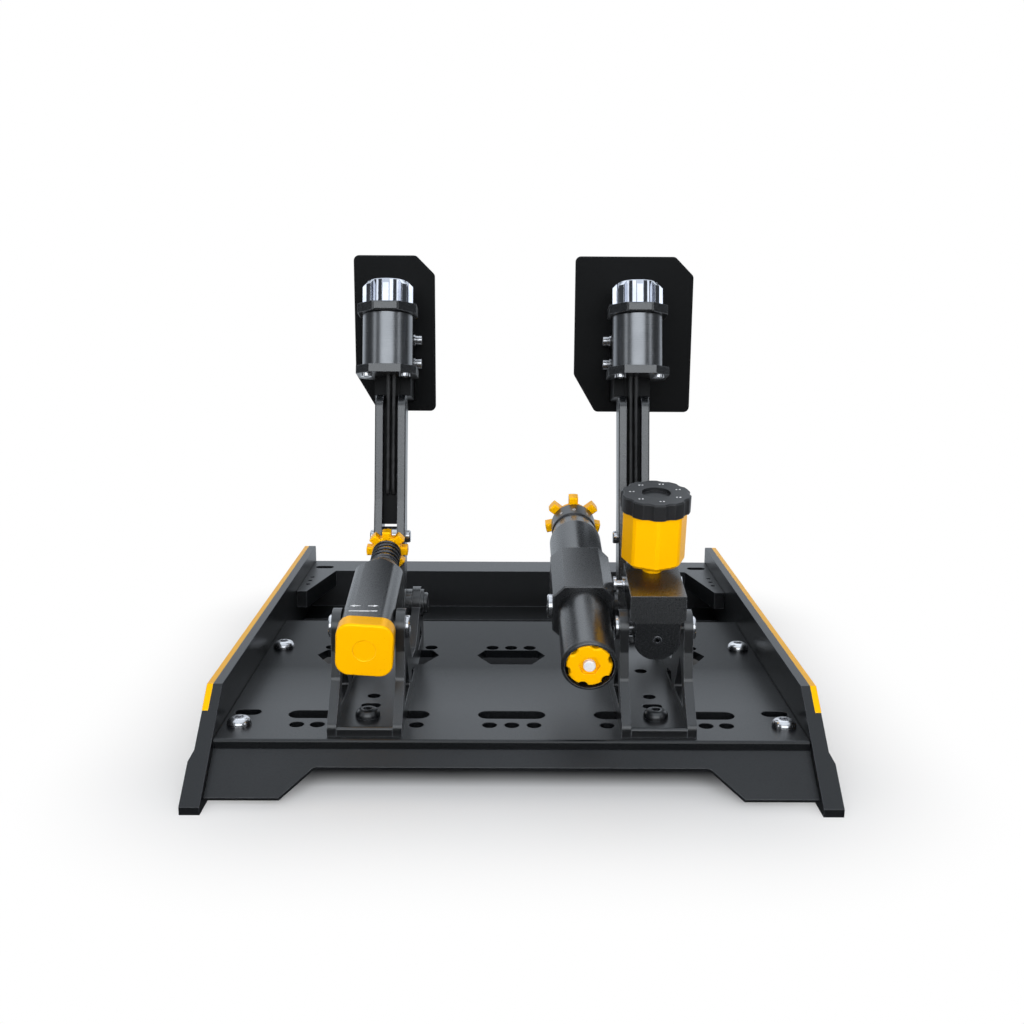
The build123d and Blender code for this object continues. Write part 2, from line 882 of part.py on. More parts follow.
def motor_can(x):
    """Round motor can between the mount and the clamp."""
    start = motor_from_pivot + motor_plate_thickness
    with BuildPart() as can:
        with BuildSketch(arm_plane(motor_centre(x), start)):
            Circle(motor_radius)
        extrude(amount=motor_length)
        chamfer(can.edges().filter_by(GeomType.CIRCLE), motor_edge / 2)
    return can


def motor_clamp(x):
    """Octagonal clamp plate on top of the motor can."""
    start = motor_from_pivot + motor_plate_thickness + motor_length
    with BuildPart() as clamp:
        with BuildSketch(arm_plane(motor_centre(x), start)):
            cut_square(clamp_width, clamp_cut)
        extrude(amount=clamp_thickness)
        top = clamp.faces().sort_by(Axis.Z)[-1]
        chamfer(top.edges(), motor_edge)
    return clamp


def motor_cap(x):
    """Fluted cap: a round core with eight fins, all bevelled at the top."""
    start = motor_from_pivot + motor_plate_thickness + motor_length + clamp_thickness
    base = arm_plane(motor_centre(x), start)
    with BuildPart() as cap:
        with BuildSketch(base):
            Circle(fluted_cap_radius)
            with PolarLocations(fluted_fin_radius / 2, fluted_fin_count):
                Rectangle(fluted_fin_radius, fluted_fin_width)
            Circle(fluted_fin_radius, mode=Mode.INTERSECT)
        extrude(amount=fluted_cap_length)
        with BuildSketch(base):
            Circle(fluted_fin_radius + overrun)
        extrude(amount=fluted_cap_length, taper=0, mode=Mode.INTERSECT)
        with BuildSketch(base.offset(fluted_cap_length - fluted_cap_bevel)):
            Circle(fluted_fin_radius + overrun)
            Circle(fluted_fin_radius, mode=Mode.SUBTRACT)
        with BuildSketch(base.offset(fluted_cap_length)):
            Circle(fluted_fin_radius + overrun)
            Circle(fluted_fin_radius - fluted_cap_bevel, mode=Mode.SUBTRACT)
        loft(mode=Mode.SUBTRACT)
        with BuildSketch(base.offset(fluted_cap_length)):
            Circle(cap_bore_radius)
        extrude(amount=-cap_bore_depth, mode=Mode.SUBTRACT)
    return cap


def motor_leads(x):
    """Two leads down the channel between the arm plates, into the core."""
    with BuildPart() as leads:
        for shift in (-lead_spacing / 2, lead_spacing / 2):
            start = arm_point(motor_from_pivot + lead_entry - seat_gap, lead_front)
            middle = arm_point(lead_end_from_pivot, lead_front)
            end = arm_point(lead_end_from_pivot, core_front + core_corner - seat_gap)
            with BuildLine() as route:
                FilletPolyline(
                    (x + shift, start[0], start[1]),
                    (x + shift, middle[0], middle[1]),
                    (x + shift, end[0], end[1]),
                    radius=lead_bend,
                )
            with BuildSketch(Plane(origin=route.line @ 0, z_dir=route.line % 0)):
                Circle(lead_radius)
            sweep(path=route.line)
    print("lead bend radius", lead_bend)
    return leads


def lobed_outline(hub, radius, lobe_width, lobes):
    """Disc with square lobes standing out round it, one at the top, in the open sketch."""
    Circle(hub)
    with PolarLocations(radius / 2, lobes, start_angle=90):
        Rectangle(radius, lobe_width)
    Circle(radius, mode=Mode.INTERSECT)


base_bolt_rows = (toe_y + base_bolt_near_from_toe, toe_y + base_bolt_far_from_toe)

# Base plate: hole rows, slots and pointed openings cut through one plate
with BuildPart() as base_plate:
    with BuildSketch(Plane.XY.offset(plate_top - plate_thickness)):
        with Locations((0, toe_y + plate_from_toe + plate_length / 2)):
            Rectangle(2 * (rail_inner - seat_gap), plate_length)
        for row in (near_row_from_toe, far_row_from_toe):
            with Locations((0, toe_y + row)):
                with GridLocations(row_pitch, 0, 3, 1):
                    Circle(row_hole_radius, mode=Mode.SUBTRACT)
            for side in (-1, 1):
                with Locations((side * (brake_x + outer_hole_offset), toe_y + row),
                               (side * (brake_x + second_hole_offset), toe_y + row),
                               (side * (brake_x - inner_hole_offset), toe_y + row)):
                    Circle(row_hole_radius, mode=Mode.SUBTRACT)
                with Locations((side * brake_x, toe_y + row)):
                    Circle(dome_shank_radius + running_fit, mode=Mode.SUBTRACT)
        with Locations((0, toe_y + near_slot_from_toe)):
            SlotOverall(centre_slot_length, near_slot_width, mode=Mode.SUBTRACT)
        with Locations((-(brake_x + slot_shift), toe_y + near_slot_from_toe),
                       (brake_x + slot_shift, toe_y + near_slot_from_toe)):
            SlotOverall(near_slot_length, near_slot_width, mode=Mode.SUBTRACT)
        with Locations((-adjust_slot_centre, toe_y + adjust_slot_from_toe),
                       (adjust_slot_centre, toe_y + adjust_slot_from_toe)):
            SlotOverall(adjust_slot_length, adjust_slot_width, mode=Mode.SUBTRACT)
        with Locations(*[(side * base_bolt_x, row) for side in (-1, 1) for row in base_bolt_rows]):
            Circle(dome_shank_radius + running_fit, mode=Mode.SUBTRACT)
        for centre, half in ((-(brake_x + slot_shift), far_slot_half), (0, centre_far_half),
                             (brake_x + slot_shift, far_slot_half)):
            with BuildSketch(mode=Mode.SUBTRACT) as opening:
                tip = toe_y + far_slot_from_toe
                Polygon(
                    (centre - half, tip),
                    (centre - half + far_slot_heel_inset, tip + far_slot_heel_depth),
                    (centre + half - far_slot_heel_inset, tip + far_slot_heel_depth),
                    (centre + half, tip),
                    (centre + half - far_slot_toe_inset, tip - far_slot_toe_depth),
                    (centre - half + far_slot_toe_inset, tip - far_slot_toe_depth),
                    align=None,
                )
                fillet(opening.vertices(), far_slot_corner)
    extrude(amount=plate_thickness)
    near_top_edge = base_plate.edges().filter_by(Axis.X).group_by(Axis.Y)[0].sort_by(Axis.Z)[-1]
    fillet(near_top_edge, plate_edge_radius)
finish(base_plate, "base_plate")

finish(side_rail(-1), "side_rail_left")
finish(side_rail(1), "side_rail_right")
finish(accent_strip(-1), "accent_strip_left")
finish(accent_strip(1), "accent_strip_right")

# Toe skirt: flange under the base plate, sloped face and a cut-out along its foot
skirt_top_height = plate_top - plate_thickness
skirt_foot_y = toe_y + skirt_foot_from_toe
skirt_top_y = toe_y + skirt_top_from_toe
skirt_angle = atan2(skirt_top_height - skirt_foot_height, skirt_top_y - skirt_foot_y)
with BuildPart() as toe_skirt:
    with BuildSketch(Plane.YZ.offset(-(rail_inner - seat_gap))):
        Polygon(
            (skirt_foot_y, skirt_foot_height),
            (skirt_top_y, skirt_top_height),
            (skirt_top_y + skirt_flange, skirt_top_height),
            (skirt_top_y + skirt_flange, skirt_top_height - skirt_thickness),
            (skirt_top_y + skirt_thickness * sin(skirt_angle) / (1 + cos(skirt_angle)),
             skirt_top_height - skirt_thickness),
            (skirt_foot_y + skirt_thickness * sin(skirt_angle),
             skirt_foot_height - skirt_thickness * cos(skirt_angle)),
            align=None,
        )
    extrude(amount=2 * (rail_inner - seat_gap))
    skirt_face = Plane(
        origin=(0, skirt_foot_y, skirt_foot_height),
        x_dir=(1, 0, 0),
        z_dir=(0, -sin(skirt_angle), cos(skirt_angle)),
    )
    with BuildSketch(skirt_face) as cut_out:
        Polygon(
            (-skirt_cut_half_foot - overrun, -skirt_thickness),
            (-skirt_cut_half_foot, 0),
            (-skirt_cut_half_top, skirt_cut_depth),
            (skirt_cut_half_top, skirt_cut_depth),
            (skirt_cut_half_foot, 0),
            (skirt_cut_half_foot + overrun, -skirt_thickness),
            align=None,
        )
        fillet(cut_out.vertices().group_by(Axis.Y)[-1], skirt_cut_corner)
    extrude(amount=skirt_thickness + overrun, both=True, mode=Mode.SUBTRACT)
finish(toe_skirt, "toe_skirt")

# Heel beam: Z section with wings, mounting slots and a channel beside each rail
beam_half = rail_inner - seat_gap
heel_y = toe_y + overall_length
beam_y = heel_y - beam_from_heel
with BuildPart() as heel_beam:
    with BuildSketch(Plane.YZ.offset(-beam_half)):
        Polygon(
            (heel_y - beam_flange_from_heel, 0),
            (heel_y - beam_flange_from_heel, beam_flange_height),
            (beam_y, beam_flange_height),
            (beam_y, beam_top),
            (heel_y - rail_end_radius, beam_top),
            (heel_y - rail_end_radius, beam_top - beam_cap_thickness),
            (beam_y + beam_web, beam_top - beam_cap_thickness),
            (beam_y + beam_web, 0),
            align=None,
        )
    extrude(amount=2 * beam_half)
    for side in (-1, 1):
        with BuildSketch(Plane.XY.offset(beam_top)):
            Polygon(
                (side * beam_half, beam_y + beam_web),
                (side * (beam_half - wing_root_width), beam_y + beam_web),
                (side * (beam_half - wing_root_width), beam_y),
                (side * (beam_half - wing_tip_width), heel_y - wing_from_heel),
                (side * beam_half, heel_y - wing_from_heel),
                align=None,
            )
        extrude(amount=-wing_thickness)
    with BuildSketch(Plane.XY.offset(beam_top)):
        with Locations((-(beam_half - heel_slot_inset), heel_y - heel_slot_from_heel),
                       (beam_half - heel_slot_inset, heel_y - heel_slot_from_heel)):
            SlotOverall(heel_slot_length, heel_slot_width)
    extrude(amount=-beam_cap_thickness - overrun - wing_thickness, mode=Mode.SUBTRACT)
    with BuildSketch(Plane.XY.offset(beam_top)):
        for side in (-1, 1):
            for step in (0, 1, 2):
                with Locations((side * (beam_half - wing_hole_inset),
                                heel_y - wing_hole_from_heel + step * wing_hole_pitch)):
                    Circle(wing_hole_radius)
    extrude(amount=-wing_thickness - overrun, mode=Mode.SUBTRACT)
finish(heel_beam, "heel_beam")

# Silver dome bolts in the base plate, and black ones in the brackets
base_bolt_planes = [
    Plane(origin=(side * base_bolt_x, row, plate_top))
    for side in (-1, 1) for row in base_bolt_rows
]
base_bolts = dome_bolts(base_bolt_planes, plate_thickness + ledge_thickness)
finish(base_bolts, "base_bolts")
bracket_bolt_planes = [
    Plane(origin=(x, toe_y + row, floor_top))
    for x in (throttle_x, brake_x) for row in (near_row_from_toe, far_row_from_toe)
]
bracket_bolts = dome_bolts(bracket_bolt_planes, floor_thickness + plate_thickness)
finish(bracket_bolts, "bracket_bolts")

# Trunnion bolts: short pins through the near towers into both cylinders
single_trunnions = [
    across_bolt(
        outward_plane(x + side * bracket_width / 2, trunnion_y, trunnion_height, side),
        trunnion_head_radius,
        trunnion_head_height,
        trunnion_pin_radius,
        cheek_thickness + trunnion_pin_reach,
    )
    for x in (throttle_x, brake_x) for side in (-1, 1)
]
with BuildPart() as trunnion_bolts:
    add(single_trunnions)
finish(trunnion_bolts, "trunnion_bolts")

for pedal_name, pedal_x, pad_width in (
    ("throttle", throttle_x, throttle_pad_width),
    ("brake", brake_x, brake_pad_width),
):
    finish(bracket_floor(pedal_x), f"{pedal_name}_floor")
    finish(bracket_cheek(pedal_x, -1), f"{pedal_name}_cheek_left")
    finish(bracket_cheek(pedal_x, 1), f"{pedal_name}_cheek_right")
    finish(pivot_axle(pedal_x), f"{pedal_name}_pivot_axle")
    finish(arm_plate(pedal_x, -1), f"{pedal_name}_arm_left")
    finish(arm_plate(pedal_x, 1), f"{pedal_name}_arm_right")
    finish(arm_core(pedal_x), f"{pedal_name}_arm_core")
    finish(clevis_pin(pedal_x), f"{pedal_name}_clevis_pin")
    finish(pad(pedal_x, pad_width), f"{pedal_name}_pad")
    finish(pad_screws(pedal_x), f"{pedal_name}_pad_screws")
    finish(cap_screws(pedal_x), f"{pedal_name}_cap_screws")
    finish(motor_mount(pedal_x), f"{pedal_name}_motor_mount")
    finish(motor_can(pedal_x), f"{pedal_name}_motor_can")
    finish(motor_clamp(pedal_x), f"{pedal_name}_motor_clamp")
    finish(motor_cap(pedal_x), f"{pedal_name}_motor_cap")
    finish(motor_leads(pedal_x), f"{pedal_name}_motor_leads")

# Throttle end cap: rounded square adjuster on a short spindle
cap_near_plane = stroke_plane(throttle_x, -end_cap_near)
housing_start = -end_cap_near + end_cap_thickness + seat_gap
with BuildPart() as throttle_end_cap:
    with BuildSketch(cap_near_plane):
        RectangleRounded(end_cap_width, end_cap_width, end_cap_corner,
                         rotation=end_cap_turn_degrees)
    extrude(amount=end_cap_thickness)
    fillet(throttle_end_cap.faces().sort_by(Axis.Y)[0].edges(), end_cap_edge)
    with BuildSketch(cap_near_plane):
        Circle(end_cap_dish_radius)
    extrude(amount=end_cap_dish_depth, mode=Mode.SUBTRACT)
    with BuildSketch(cap_near_plane.offset(end_cap_thickness)):
        Circle(end_cap_spindle_radius)
    extrude(amount=end_cap_spindle_length)
finish(throttle_end_cap, "throttle_end_cap")

# Throttle housing: rounded square bar turned down to a round nose
with BuildPart() as throttle_housing:
    with BuildSketch(stroke_plane(throttle_x, housing_start)):
        RectangleRounded(housing_width, housing_width, housing_corner)
    extrude(amount=housing_end - housing_start)
    turned = Plane(
        origin=(throttle_x, trunnion_y, trunnion_height),
        x_dir=(0, cos(rise), sin(rise)),
        z_dir=(1, 0, 0),
    )
    with BuildSketch(turned):
        Polygon(
            (housing_start - overrun, 0),
            (housing_start - overrun, housing_width),
            (housing_taper_start - housing_width + housing_shoulder_radius, housing_width),
            (housing_taper_start, housing_shoulder_radius),
            (housing_end, housing_nose_radius),
            (housing_end, 0),
            align=None,
        )
    turning_axis = Axis((throttle_x, trunnion_y, trunnion_height), (0, cos(rise), sin(rise)))
    revolve(axis=turning_axis, mode=Mode.INTERSECT)
    with BuildSketch(stroke_plane(throttle_x, housing_end)):
        Circle(rod_radius + running_fit)
    extrude(amount=-(housing_end - rod_bore_end), mode=Mode.SUBTRACT)
    with BuildSketch(stroke_plane(throttle_x, housing_start)):
        Circle(end_cap_spindle_radius + running_fit)
    extrude(amount=end_cap_spindle_length + seat_gap, mode=Mode.SUBTRACT)
    for side in (-1, 1):
        with BuildSketch(outward_plane(throttle_x + side * housing_width / 2,
                                       trunnion_y, trunnion_height, side)):
            Circle(trunnion_pin_radius + running_fit)
        extrude(amount=-(trunnion_pin_reach - cheek_inner + housing_width / 2 + seat_gap),
                mode=Mode.SUBTRACT)
finish(throttle_housing, "throttle_housing")


def piston_rod(x, tail):
    """Rod with a round eye between the arm plates."""
    with BuildPart() as rod:
        with BuildSketch(stroke_plane(x, tail)):
            Circle(rod_radius)
        extrude(amount=stroke_length - tail)
        with BuildSketch(Plane.YZ.offset(x)):
            with Locations((clevis_y, clevis_z)):
                Circle(rod_eye_radius)
        extrude(amount=rod_eye_width / 2, both=True)
        with BuildSketch(Plane.YZ.offset(x)):
            with Locations((clevis_y, clevis_z)):
                Circle(clevis_pin_radius + open_pivot_clearance)
        extrude(amount=rod_eye_width / 2 + overrun, both=True, mode=Mode.SUBTRACT)
    return rod


finish(piston_rod(throttle_x, rod_tail), "throttle_rod")
finish(piston_rod(brake_x, brake_rod_tail), "brake_rod")

# Star knob on the throttle rod, behind the spring
star_start = stroke_length - star_gap_to_clevis - star_thickness
with BuildPart() as throttle_star_knob:
    with BuildSketch(stroke_plane(throttle_x, star_start)):
        lobed_outline(star_hub_radius, star_radius, star_lobe_width, star_lobes)
    extrude(amount=star_thickness)
    chamfer(throttle_star_knob.faces().sort_by(Axis.Y)[0].edges(), star_edge)
    chamfer(throttle_star_knob.faces().sort_by(Axis.Y)[-1].edges(), star_edge)
    with BuildSketch(stroke_plane(throttle_x, star_start)):
        Circle(rod_radius + running_fit)
    extrude(amount=star_thickness, mode=Mode.SUBTRACT)
finish(throttle_star_knob, "throttle_star_knob")

# Return spring between the housing nose and the star knob, wound on quarter-turn biarcs
spring_start = housing_end + spring_seat_gap + spring_wire_radius
spring_end = star_start - spring_seat_gap - spring_wire_radius
spring_rise = spring_end - spring_start
open_pitch = (spring_rise - 2 * spring_end_pitch) / (spring_turns - 2)


def spring_height(turn):
    """Height of the wire's centre after a number of turns: closer turns at both ends."""
    if turn < 1:
        return spring_start + spring_end_pitch * turn
    if turn > spring_turns - 1:
        return spring_end - spring_end_pitch * (spring_turns - turn)
    return spring_start + spring_end_pitch + open_pitch * (turn - 1)


def spring_slope(turn):
    """Rise of the wire per turn, eased between the close and the open turns."""
    if turn < 1 or turn > spring_turns - 1:
        return spring_end_pitch
    if turn == 1 or turn == spring_turns - 1:
        return (spring_end_pitch + open_pitch) / 2
    return open_pitch


spring_base = stroke_plane(throttle_x, 0)


def spring_point(turn):
    """Wire centre and its direction after a number of turns."""
    angle = 2 * pi * turn
    local = (spring_radius * cos(angle), spring_radius * sin(angle), spring_height(turn))
    along = spring_slope(turn) / (2 * pi)
    heading = (-spring_radius * sin(angle), spring_radius * cos(angle), along)
    point = spring_base.from_local_coords(local)
    ahead = spring_base.from_local_coords(tuple(a + b for a, b in zip(local, heading)))
    return point, (ahead - point).normalized()


with BuildPart() as throttle_spring:
    with BuildLine() as coil:
        quarter = 0.25
        for step in range(4 * spring_turns):
            first, first_way = spring_point(step * quarter)
            last, last_way = spring_point((step + 1) * quarter)
            chord = last - first
            ways = first_way + last_way
            bend = 2 * (1 - first_way.dot(last_way))
            reach = (-chord.dot(ways) + sqrt(chord.dot(ways) ** 2 + bend * chord.dot(chord))) / bend
            joint = (first + last + (first_way - last_way) * reach) * 0.5
            joint_way = (last - last_way * reach - first - first_way * reach).normalized()
            TangentArc(first, joint, tangent=first_way)
            TangentArc(joint, last, tangent=joint_way)
    with BuildSketch(Plane(origin=coil.line @ 0, z_dir=coil.line % 0)):
        Circle(spring_wire_radius)
    sweep(path=coil.line)
coil_samples = [spring_point(step / 24)[0] for step in range(24 * spring_turns + 1)]
coil_gap = min(
    (coil_samples[i] - coil_samples[j]).length
    for i in range(len(coil_samples)) for j in range(i + 18, len(coil_samples))
) - 2 * spring_wire_radius
print("spring least gap to itself", round(coil_gap, 3))
finish(throttle_spring, "throttle_spring")

# Brake master cylinder: round-footed body under a square block, with a barrel behind
with BuildPart() as brake_master:
    with BuildSketch(stroke_plane(brake_x, -master_near)):
        Circle(master_radius)
        with Locations((0, master_block_foot / 2)):
            Rectangle(2 * master_radius, master_block_foot)
        half = master_block_width / 2
        foot = master_block_foot
        Polygon(
            (-master_radius, foot - master_block_bevel),
            (-half, foot),
            (-half, master_block_top),
            (half, master_block_top),
            (half, foot),
            (master_radius, foot - master_block_bevel),
            align=None,
        )
    extrude(amount=master_block_end + master_near)
    with BuildSketch(stroke_plane(brake_x, -master_near)):
        Circle(master_radius)
    extrude(amount=master_barrel_end + master_near)
    with BuildSketch(stroke_plane(brake_x, master_barrel_end)):
        Circle(master_snout_radius)
    extrude(amount=master_snout_end - master_barrel_end)
    near_face = brake_master.faces().sort_by(Axis.Y)[0]
    chamfer(near_face.edges(), master_edge)
    with BuildSketch(Plane.YZ.offset(brake_x - master_block_width)):
        Polygon(
            stroke_point(-master_near, master_band_foot),
            stroke_point(-master_near + master_band_depth, master_block_top),
            stroke_point(-master_near + master_band_depth, master_block_top + overrun),
            stroke_point(-master_near - overrun, master_block_top + overrun),
            stroke_point(-master_near - overrun, master_band_foot),
            align=None,
        )
    extrude(amount=2 * master_block_width, mode=Mode.SUBTRACT)
    with BuildSketch(stroke_plane(brake_x, -master_near)):
        Circle(bleed_rim_radius)
    extrude(amount=-bleed_rim_height)
    with BuildSketch(stroke_plane(brake_x, -master_near - bleed_rim_height)):
        Circle(bleed_hole_radius)
    extrude(amount=bleed_hole_depth, mode=Mode.SUBTRACT)
    with BuildSketch(stroke_plane(brake_x, master_snout_end)):
        Circle(rod_radius + running_fit)
    extrude(amount=-(master_snout_end - brake_rod_tail + bracket_slot_width), mode=Mode.SUBTRACT)
    for side in (-1, 1):
        with BuildSketch(outward_plane(brake_x + side * master_radius,
                                       trunnion_y, trunnion_height, side)):
            Circle(trunnion_pin_radius + running_fit)
        extrude(amount=-(trunnion_pin_reach - cheek_inner + master_radius + seat_gap),
                mode=Mode.SUBTRACT)
finish(brake_master, "brake_master")

# Fluid reservoir and its scalloped cap, square to the master block
block_top = stroke_plane(brake_x, reservoir_along)
reservoir_plane = Plane(
    origin=block_top.from_local_coords((0, master_block_top, 0)),
    x_dir=(1, 0, 0),
    z_dir=(0, -sin(rise), cos(rise)),
)
with BuildPart() as brake_reservoir:
    with BuildSketch(reservoir_plane):
        Circle(reservoir_neck_radius)
    extrude(amount=reservoir_neck_height)
    with BuildSketch(reservoir_plane.offset(reservoir_neck_height)):
        Circle(reservoir_radius)
        RegularPolygon(reservoir_flats / 2, reservoir_flat_count, major_radius=False,
                       rotation=90, mode=Mode.INTERSECT)
    extrude(amount=reservoir_height)
    foot_face = brake_reservoir.faces().filter_by(GeomType.PLANE).sort_by(SortBy.AREA)[-2:]
    chamfer(foot_face.sort_by(Axis.Z)[0].outer_wire().edges(), reservoir_edge)
finish(brake_reservoir, "brake_reservoir")

cap_plane = reservoir_plane.offset(reservoir_neck_height + reservoir_height + seat_gap)
with BuildPart() as reservoir_cap:
    with BuildSketch(cap_plane):
        Circle(reservoir_cap_radius)
        flute_centre = reservoir_cap_radius - reservoir_cap_flute_depth + reservoir_cap_flute_radius
        with PolarLocations(flute_centre, reservoir_cap_flutes):
            Circle(reservoir_cap_flute_radius, mode=Mode.SUBTRACT)
    extrude(amount=reservoir_cap_height)
    chamfer(reservoir_cap.faces().filter_by(GeomType.PLANE).sort_by(Axis.Z)[-1].edges(),
            reservoir_cap_edge)
    with BuildSketch(cap_plane.offset(reservoir_cap_height)):
        Circle(reservoir_cap_dish_radius)
    extrude(amount=-reservoir_cap_dish_depth, mode=Mode.SUBTRACT)
finish(reservoir_cap, "reservoir_cap")

# Slave cylinder: open tube, cut-cornered block and tapered barrel on one axis
barrel_start = slave_block_start + slave_block_length
taper_start = barrel_start + slave_barrel_length
barrel_end = taper_start + slave_taper_length
with BuildPart() as slave_tube:
    with BuildSketch(slave_plane(0)):
        Circle(slave_lip_radius)
    extrude(amount=slave_lip_length)
    with BuildSketch(slave_plane(0)):
        Circle(slave_tube_radius)
    extrude(amount=slave_block_start)
    fillet(slave_tube.edges().filter_by(GeomType.CIRCLE).group_by(Axis.Y)[0], slave_lip_round)
    with BuildSketch(slave_plane(0)):
        Circle(slave_tube_bore)
    extrude(amount=slave_tube_depth, mode=Mode.SUBTRACT)
    with BuildSketch(slave_plane(slave_tube_depth)):
        Circle(knob_spindle_radius + running_fit)
    extrude(amount=knob_spindle_length + overrun, mode=Mode.SUBTRACT)
finish(slave_tube, "slave_tube")

bolt_y = toe_y + slave_from_toe + side_bolt_along * cos(slave_rise)
bolt_z = slave_height + side_bolt_along * sin(slave_rise)
side_bolt_face = outward_plane(slave_x - slave_block_width / 2, bolt_y, bolt_z, -1)
with BuildPart() as slave_body:
    with BuildSketch(slave_plane(slave_block_start)):
        cut_square(slave_block_width, slave_block_cut)
    extrude(amount=slave_block_length)
    chamfer(slave_body.faces().sort_by(Axis.Y)[0].edges(), pad_edge)
    with BuildSketch(slave_plane(barrel_start)):
        Circle(slave_barrel_radius)
    extrude(amount=slave_barrel_length)
    with BuildSketch(slave_plane(taper_start)):
        Circle(slave_barrel_radius)
    with BuildSketch(slave_plane(barrel_end)):
        Circle(slave_barrel_end_radius)
    loft()
    with BuildSketch(slave_plane(barrel_end)):
        Circle(knob_spindle_radius + running_fit)
    extrude(amount=-(knob_spindle_length + overrun), mode=Mode.SUBTRACT)
    with BuildSketch(side_bolt_face):
        Circle(side_bolt_shank + running_fit)
    extrude(amount=-(side_bolt_pin + seat_gap), mode=Mode.SUBTRACT)
finish(slave_body, "slave_body")

with BuildPart() as slave_dial:
    with BuildSketch(slave_plane(barrel_end)):
        Circle(dial_radius)
        Circle(knob_spindle_radius + running_fit, mode=Mode.SUBTRACT)
    extrude(amount=dial_thickness)
    chamfer(slave_dial.edges().filter_by(GeomType.CIRCLE).group_by(SortBy.RADIUS)[-1], pad_edge)
finish(slave_dial, "slave_dial")

far_knob_start = barrel_end + dial_thickness + dial_gap
with BuildPart() as slave_far_knob:
    with BuildSketch(slave_plane(far_knob_start)):
        lobed_outline(far_knob_hub_radius, far_knob_radius, far_knob_lobe_width, far_knob_lobes)
    extrude(amount=far_knob_thickness)
    chamfer(slave_far_knob.faces().sort_by(Axis.Y)[0].edges(), star_edge)
    chamfer(slave_far_knob.faces().sort_by(Axis.Y)[-1].edges(), star_edge)
    with BuildSketch(slave_plane(far_knob_start)):
        Circle(knob_spindle_radius)
    extrude(amount=-(dial_gap + dial_thickness + knob_spindle_length))
finish(slave_far_knob, "slave_far_knob")

with BuildPart() as slave_near_knob:
    with BuildSketch(slave_plane(near_knob_recess)):
        Circle(near_knob_radius)
        with PolarLocations(near_knob_scallop_centre, near_knob_lobes,
                            start_angle=near_knob_turn_degrees):
            Circle(near_knob_scallop_radius, mode=Mode.SUBTRACT)
    extrude(amount=near_knob_thickness)
    chamfer(slave_near_knob.faces().sort_by(Axis.Y)[0].edges(), star_edge)
    with BuildSketch(slave_plane(near_knob_recess)):
        RegularPolygon(near_knob_hex / 2, 6, major_radius=False)
    extrude(amount=near_knob_hex_depth, mode=Mode.SUBTRACT)
    with BuildSketch(slave_plane(near_knob_recess + near_knob_thickness)):
        Circle(knob_spindle_radius)
    extrude(amount=slave_tube_depth - near_knob_recess - near_knob_thickness + knob_spindle_length)
    with BuildSketch(slave_plane(near_knob_recess)):
        Circle(set_screw_radius + running_fit)
    extrude(amount=near_knob_thickness, mode=Mode.SUBTRACT)
finish(slave_near_knob, "slave_near_knob")

with BuildPart() as slave_set_screw:
    with BuildSketch(slave_plane(near_knob_recess - set_screw_proud)):
        Circle(set_screw_radius)
    extrude(amount=near_knob_thickness + set_screw_proud)
    chamfer(slave_set_screw.faces().sort_by(Axis.Y)[0].edges(), set_screw_proud / 2)
finish(slave_set_screw, "slave_set_screw")

# Side bolt of the slave block and the cross link between the two blocks
single_side_bolt = across_bolt(
    side_bolt_face, side_bolt_radius, side_bolt_height, side_bolt_shank, side_bolt_pin
)
with BuildPart() as slave_side_bolt:
    add(single_side_bolt)
finish(slave_side_bolt, "slave_side_bolt")

link_origin = stroke_plane(brake_x, link_along).from_local_coords((0, link_above, 0))
block_left = brake_x - master_block_width / 2
block_right = brake_x + master_block_width / 2
slave_right = slave_x + slave_block_width / 2
with BuildPart() as cross_link:
    with BuildSketch(Plane.YZ.offset(slave_right)):
        with Locations((link_origin.Y, link_origin.Z)):
            Circle(link_radius)
    extrude(amount=block_left - slave_right)
    with BuildSketch(Plane.YZ.offset(slave_right)):
        with Locations((link_origin.Y, link_origin.Z)):
            Circle(link_collar_radius)
    extrude(amount=(block_left - slave_right) / 4)
    with BuildSketch(Plane.YZ.offset(block_left)):
        with Locations((link_origin.Y, link_origin.Z)):
            Circle(link_collar_radius)
    extrude(amount=-(block_left - slave_right) / 4)
    with BuildSketch(Plane.YZ.offset(block_right)):
        with Locations((link_origin.Y, link_origin.Z)):
            Circle(link_head_radius)
    extrude(amount=link_head_height)
finish(cross_link, "cross_link")
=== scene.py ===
"""Looks, small fittings, light and camera for a two-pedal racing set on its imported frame."""
import json
import logging
import math
from abc import ABC, abstractmethod
from dataclasses import dataclass, field
from enum import Enum

import bpy
import numpy as np
from mathutils import Matrix, Vector


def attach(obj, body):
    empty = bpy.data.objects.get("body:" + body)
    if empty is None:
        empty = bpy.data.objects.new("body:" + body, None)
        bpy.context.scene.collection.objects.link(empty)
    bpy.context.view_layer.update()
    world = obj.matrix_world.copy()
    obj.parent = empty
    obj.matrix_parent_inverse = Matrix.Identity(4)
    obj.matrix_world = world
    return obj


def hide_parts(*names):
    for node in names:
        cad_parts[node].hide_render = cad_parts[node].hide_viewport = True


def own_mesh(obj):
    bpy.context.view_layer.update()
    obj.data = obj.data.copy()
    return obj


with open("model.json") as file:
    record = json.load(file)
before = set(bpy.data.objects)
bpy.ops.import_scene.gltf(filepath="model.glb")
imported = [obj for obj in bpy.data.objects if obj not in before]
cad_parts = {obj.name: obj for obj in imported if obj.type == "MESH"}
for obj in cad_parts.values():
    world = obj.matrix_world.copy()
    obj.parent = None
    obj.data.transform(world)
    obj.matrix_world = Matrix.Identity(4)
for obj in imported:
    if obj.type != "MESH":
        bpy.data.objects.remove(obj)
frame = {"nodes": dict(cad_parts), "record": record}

log = logging.getLogger("pedal_set")

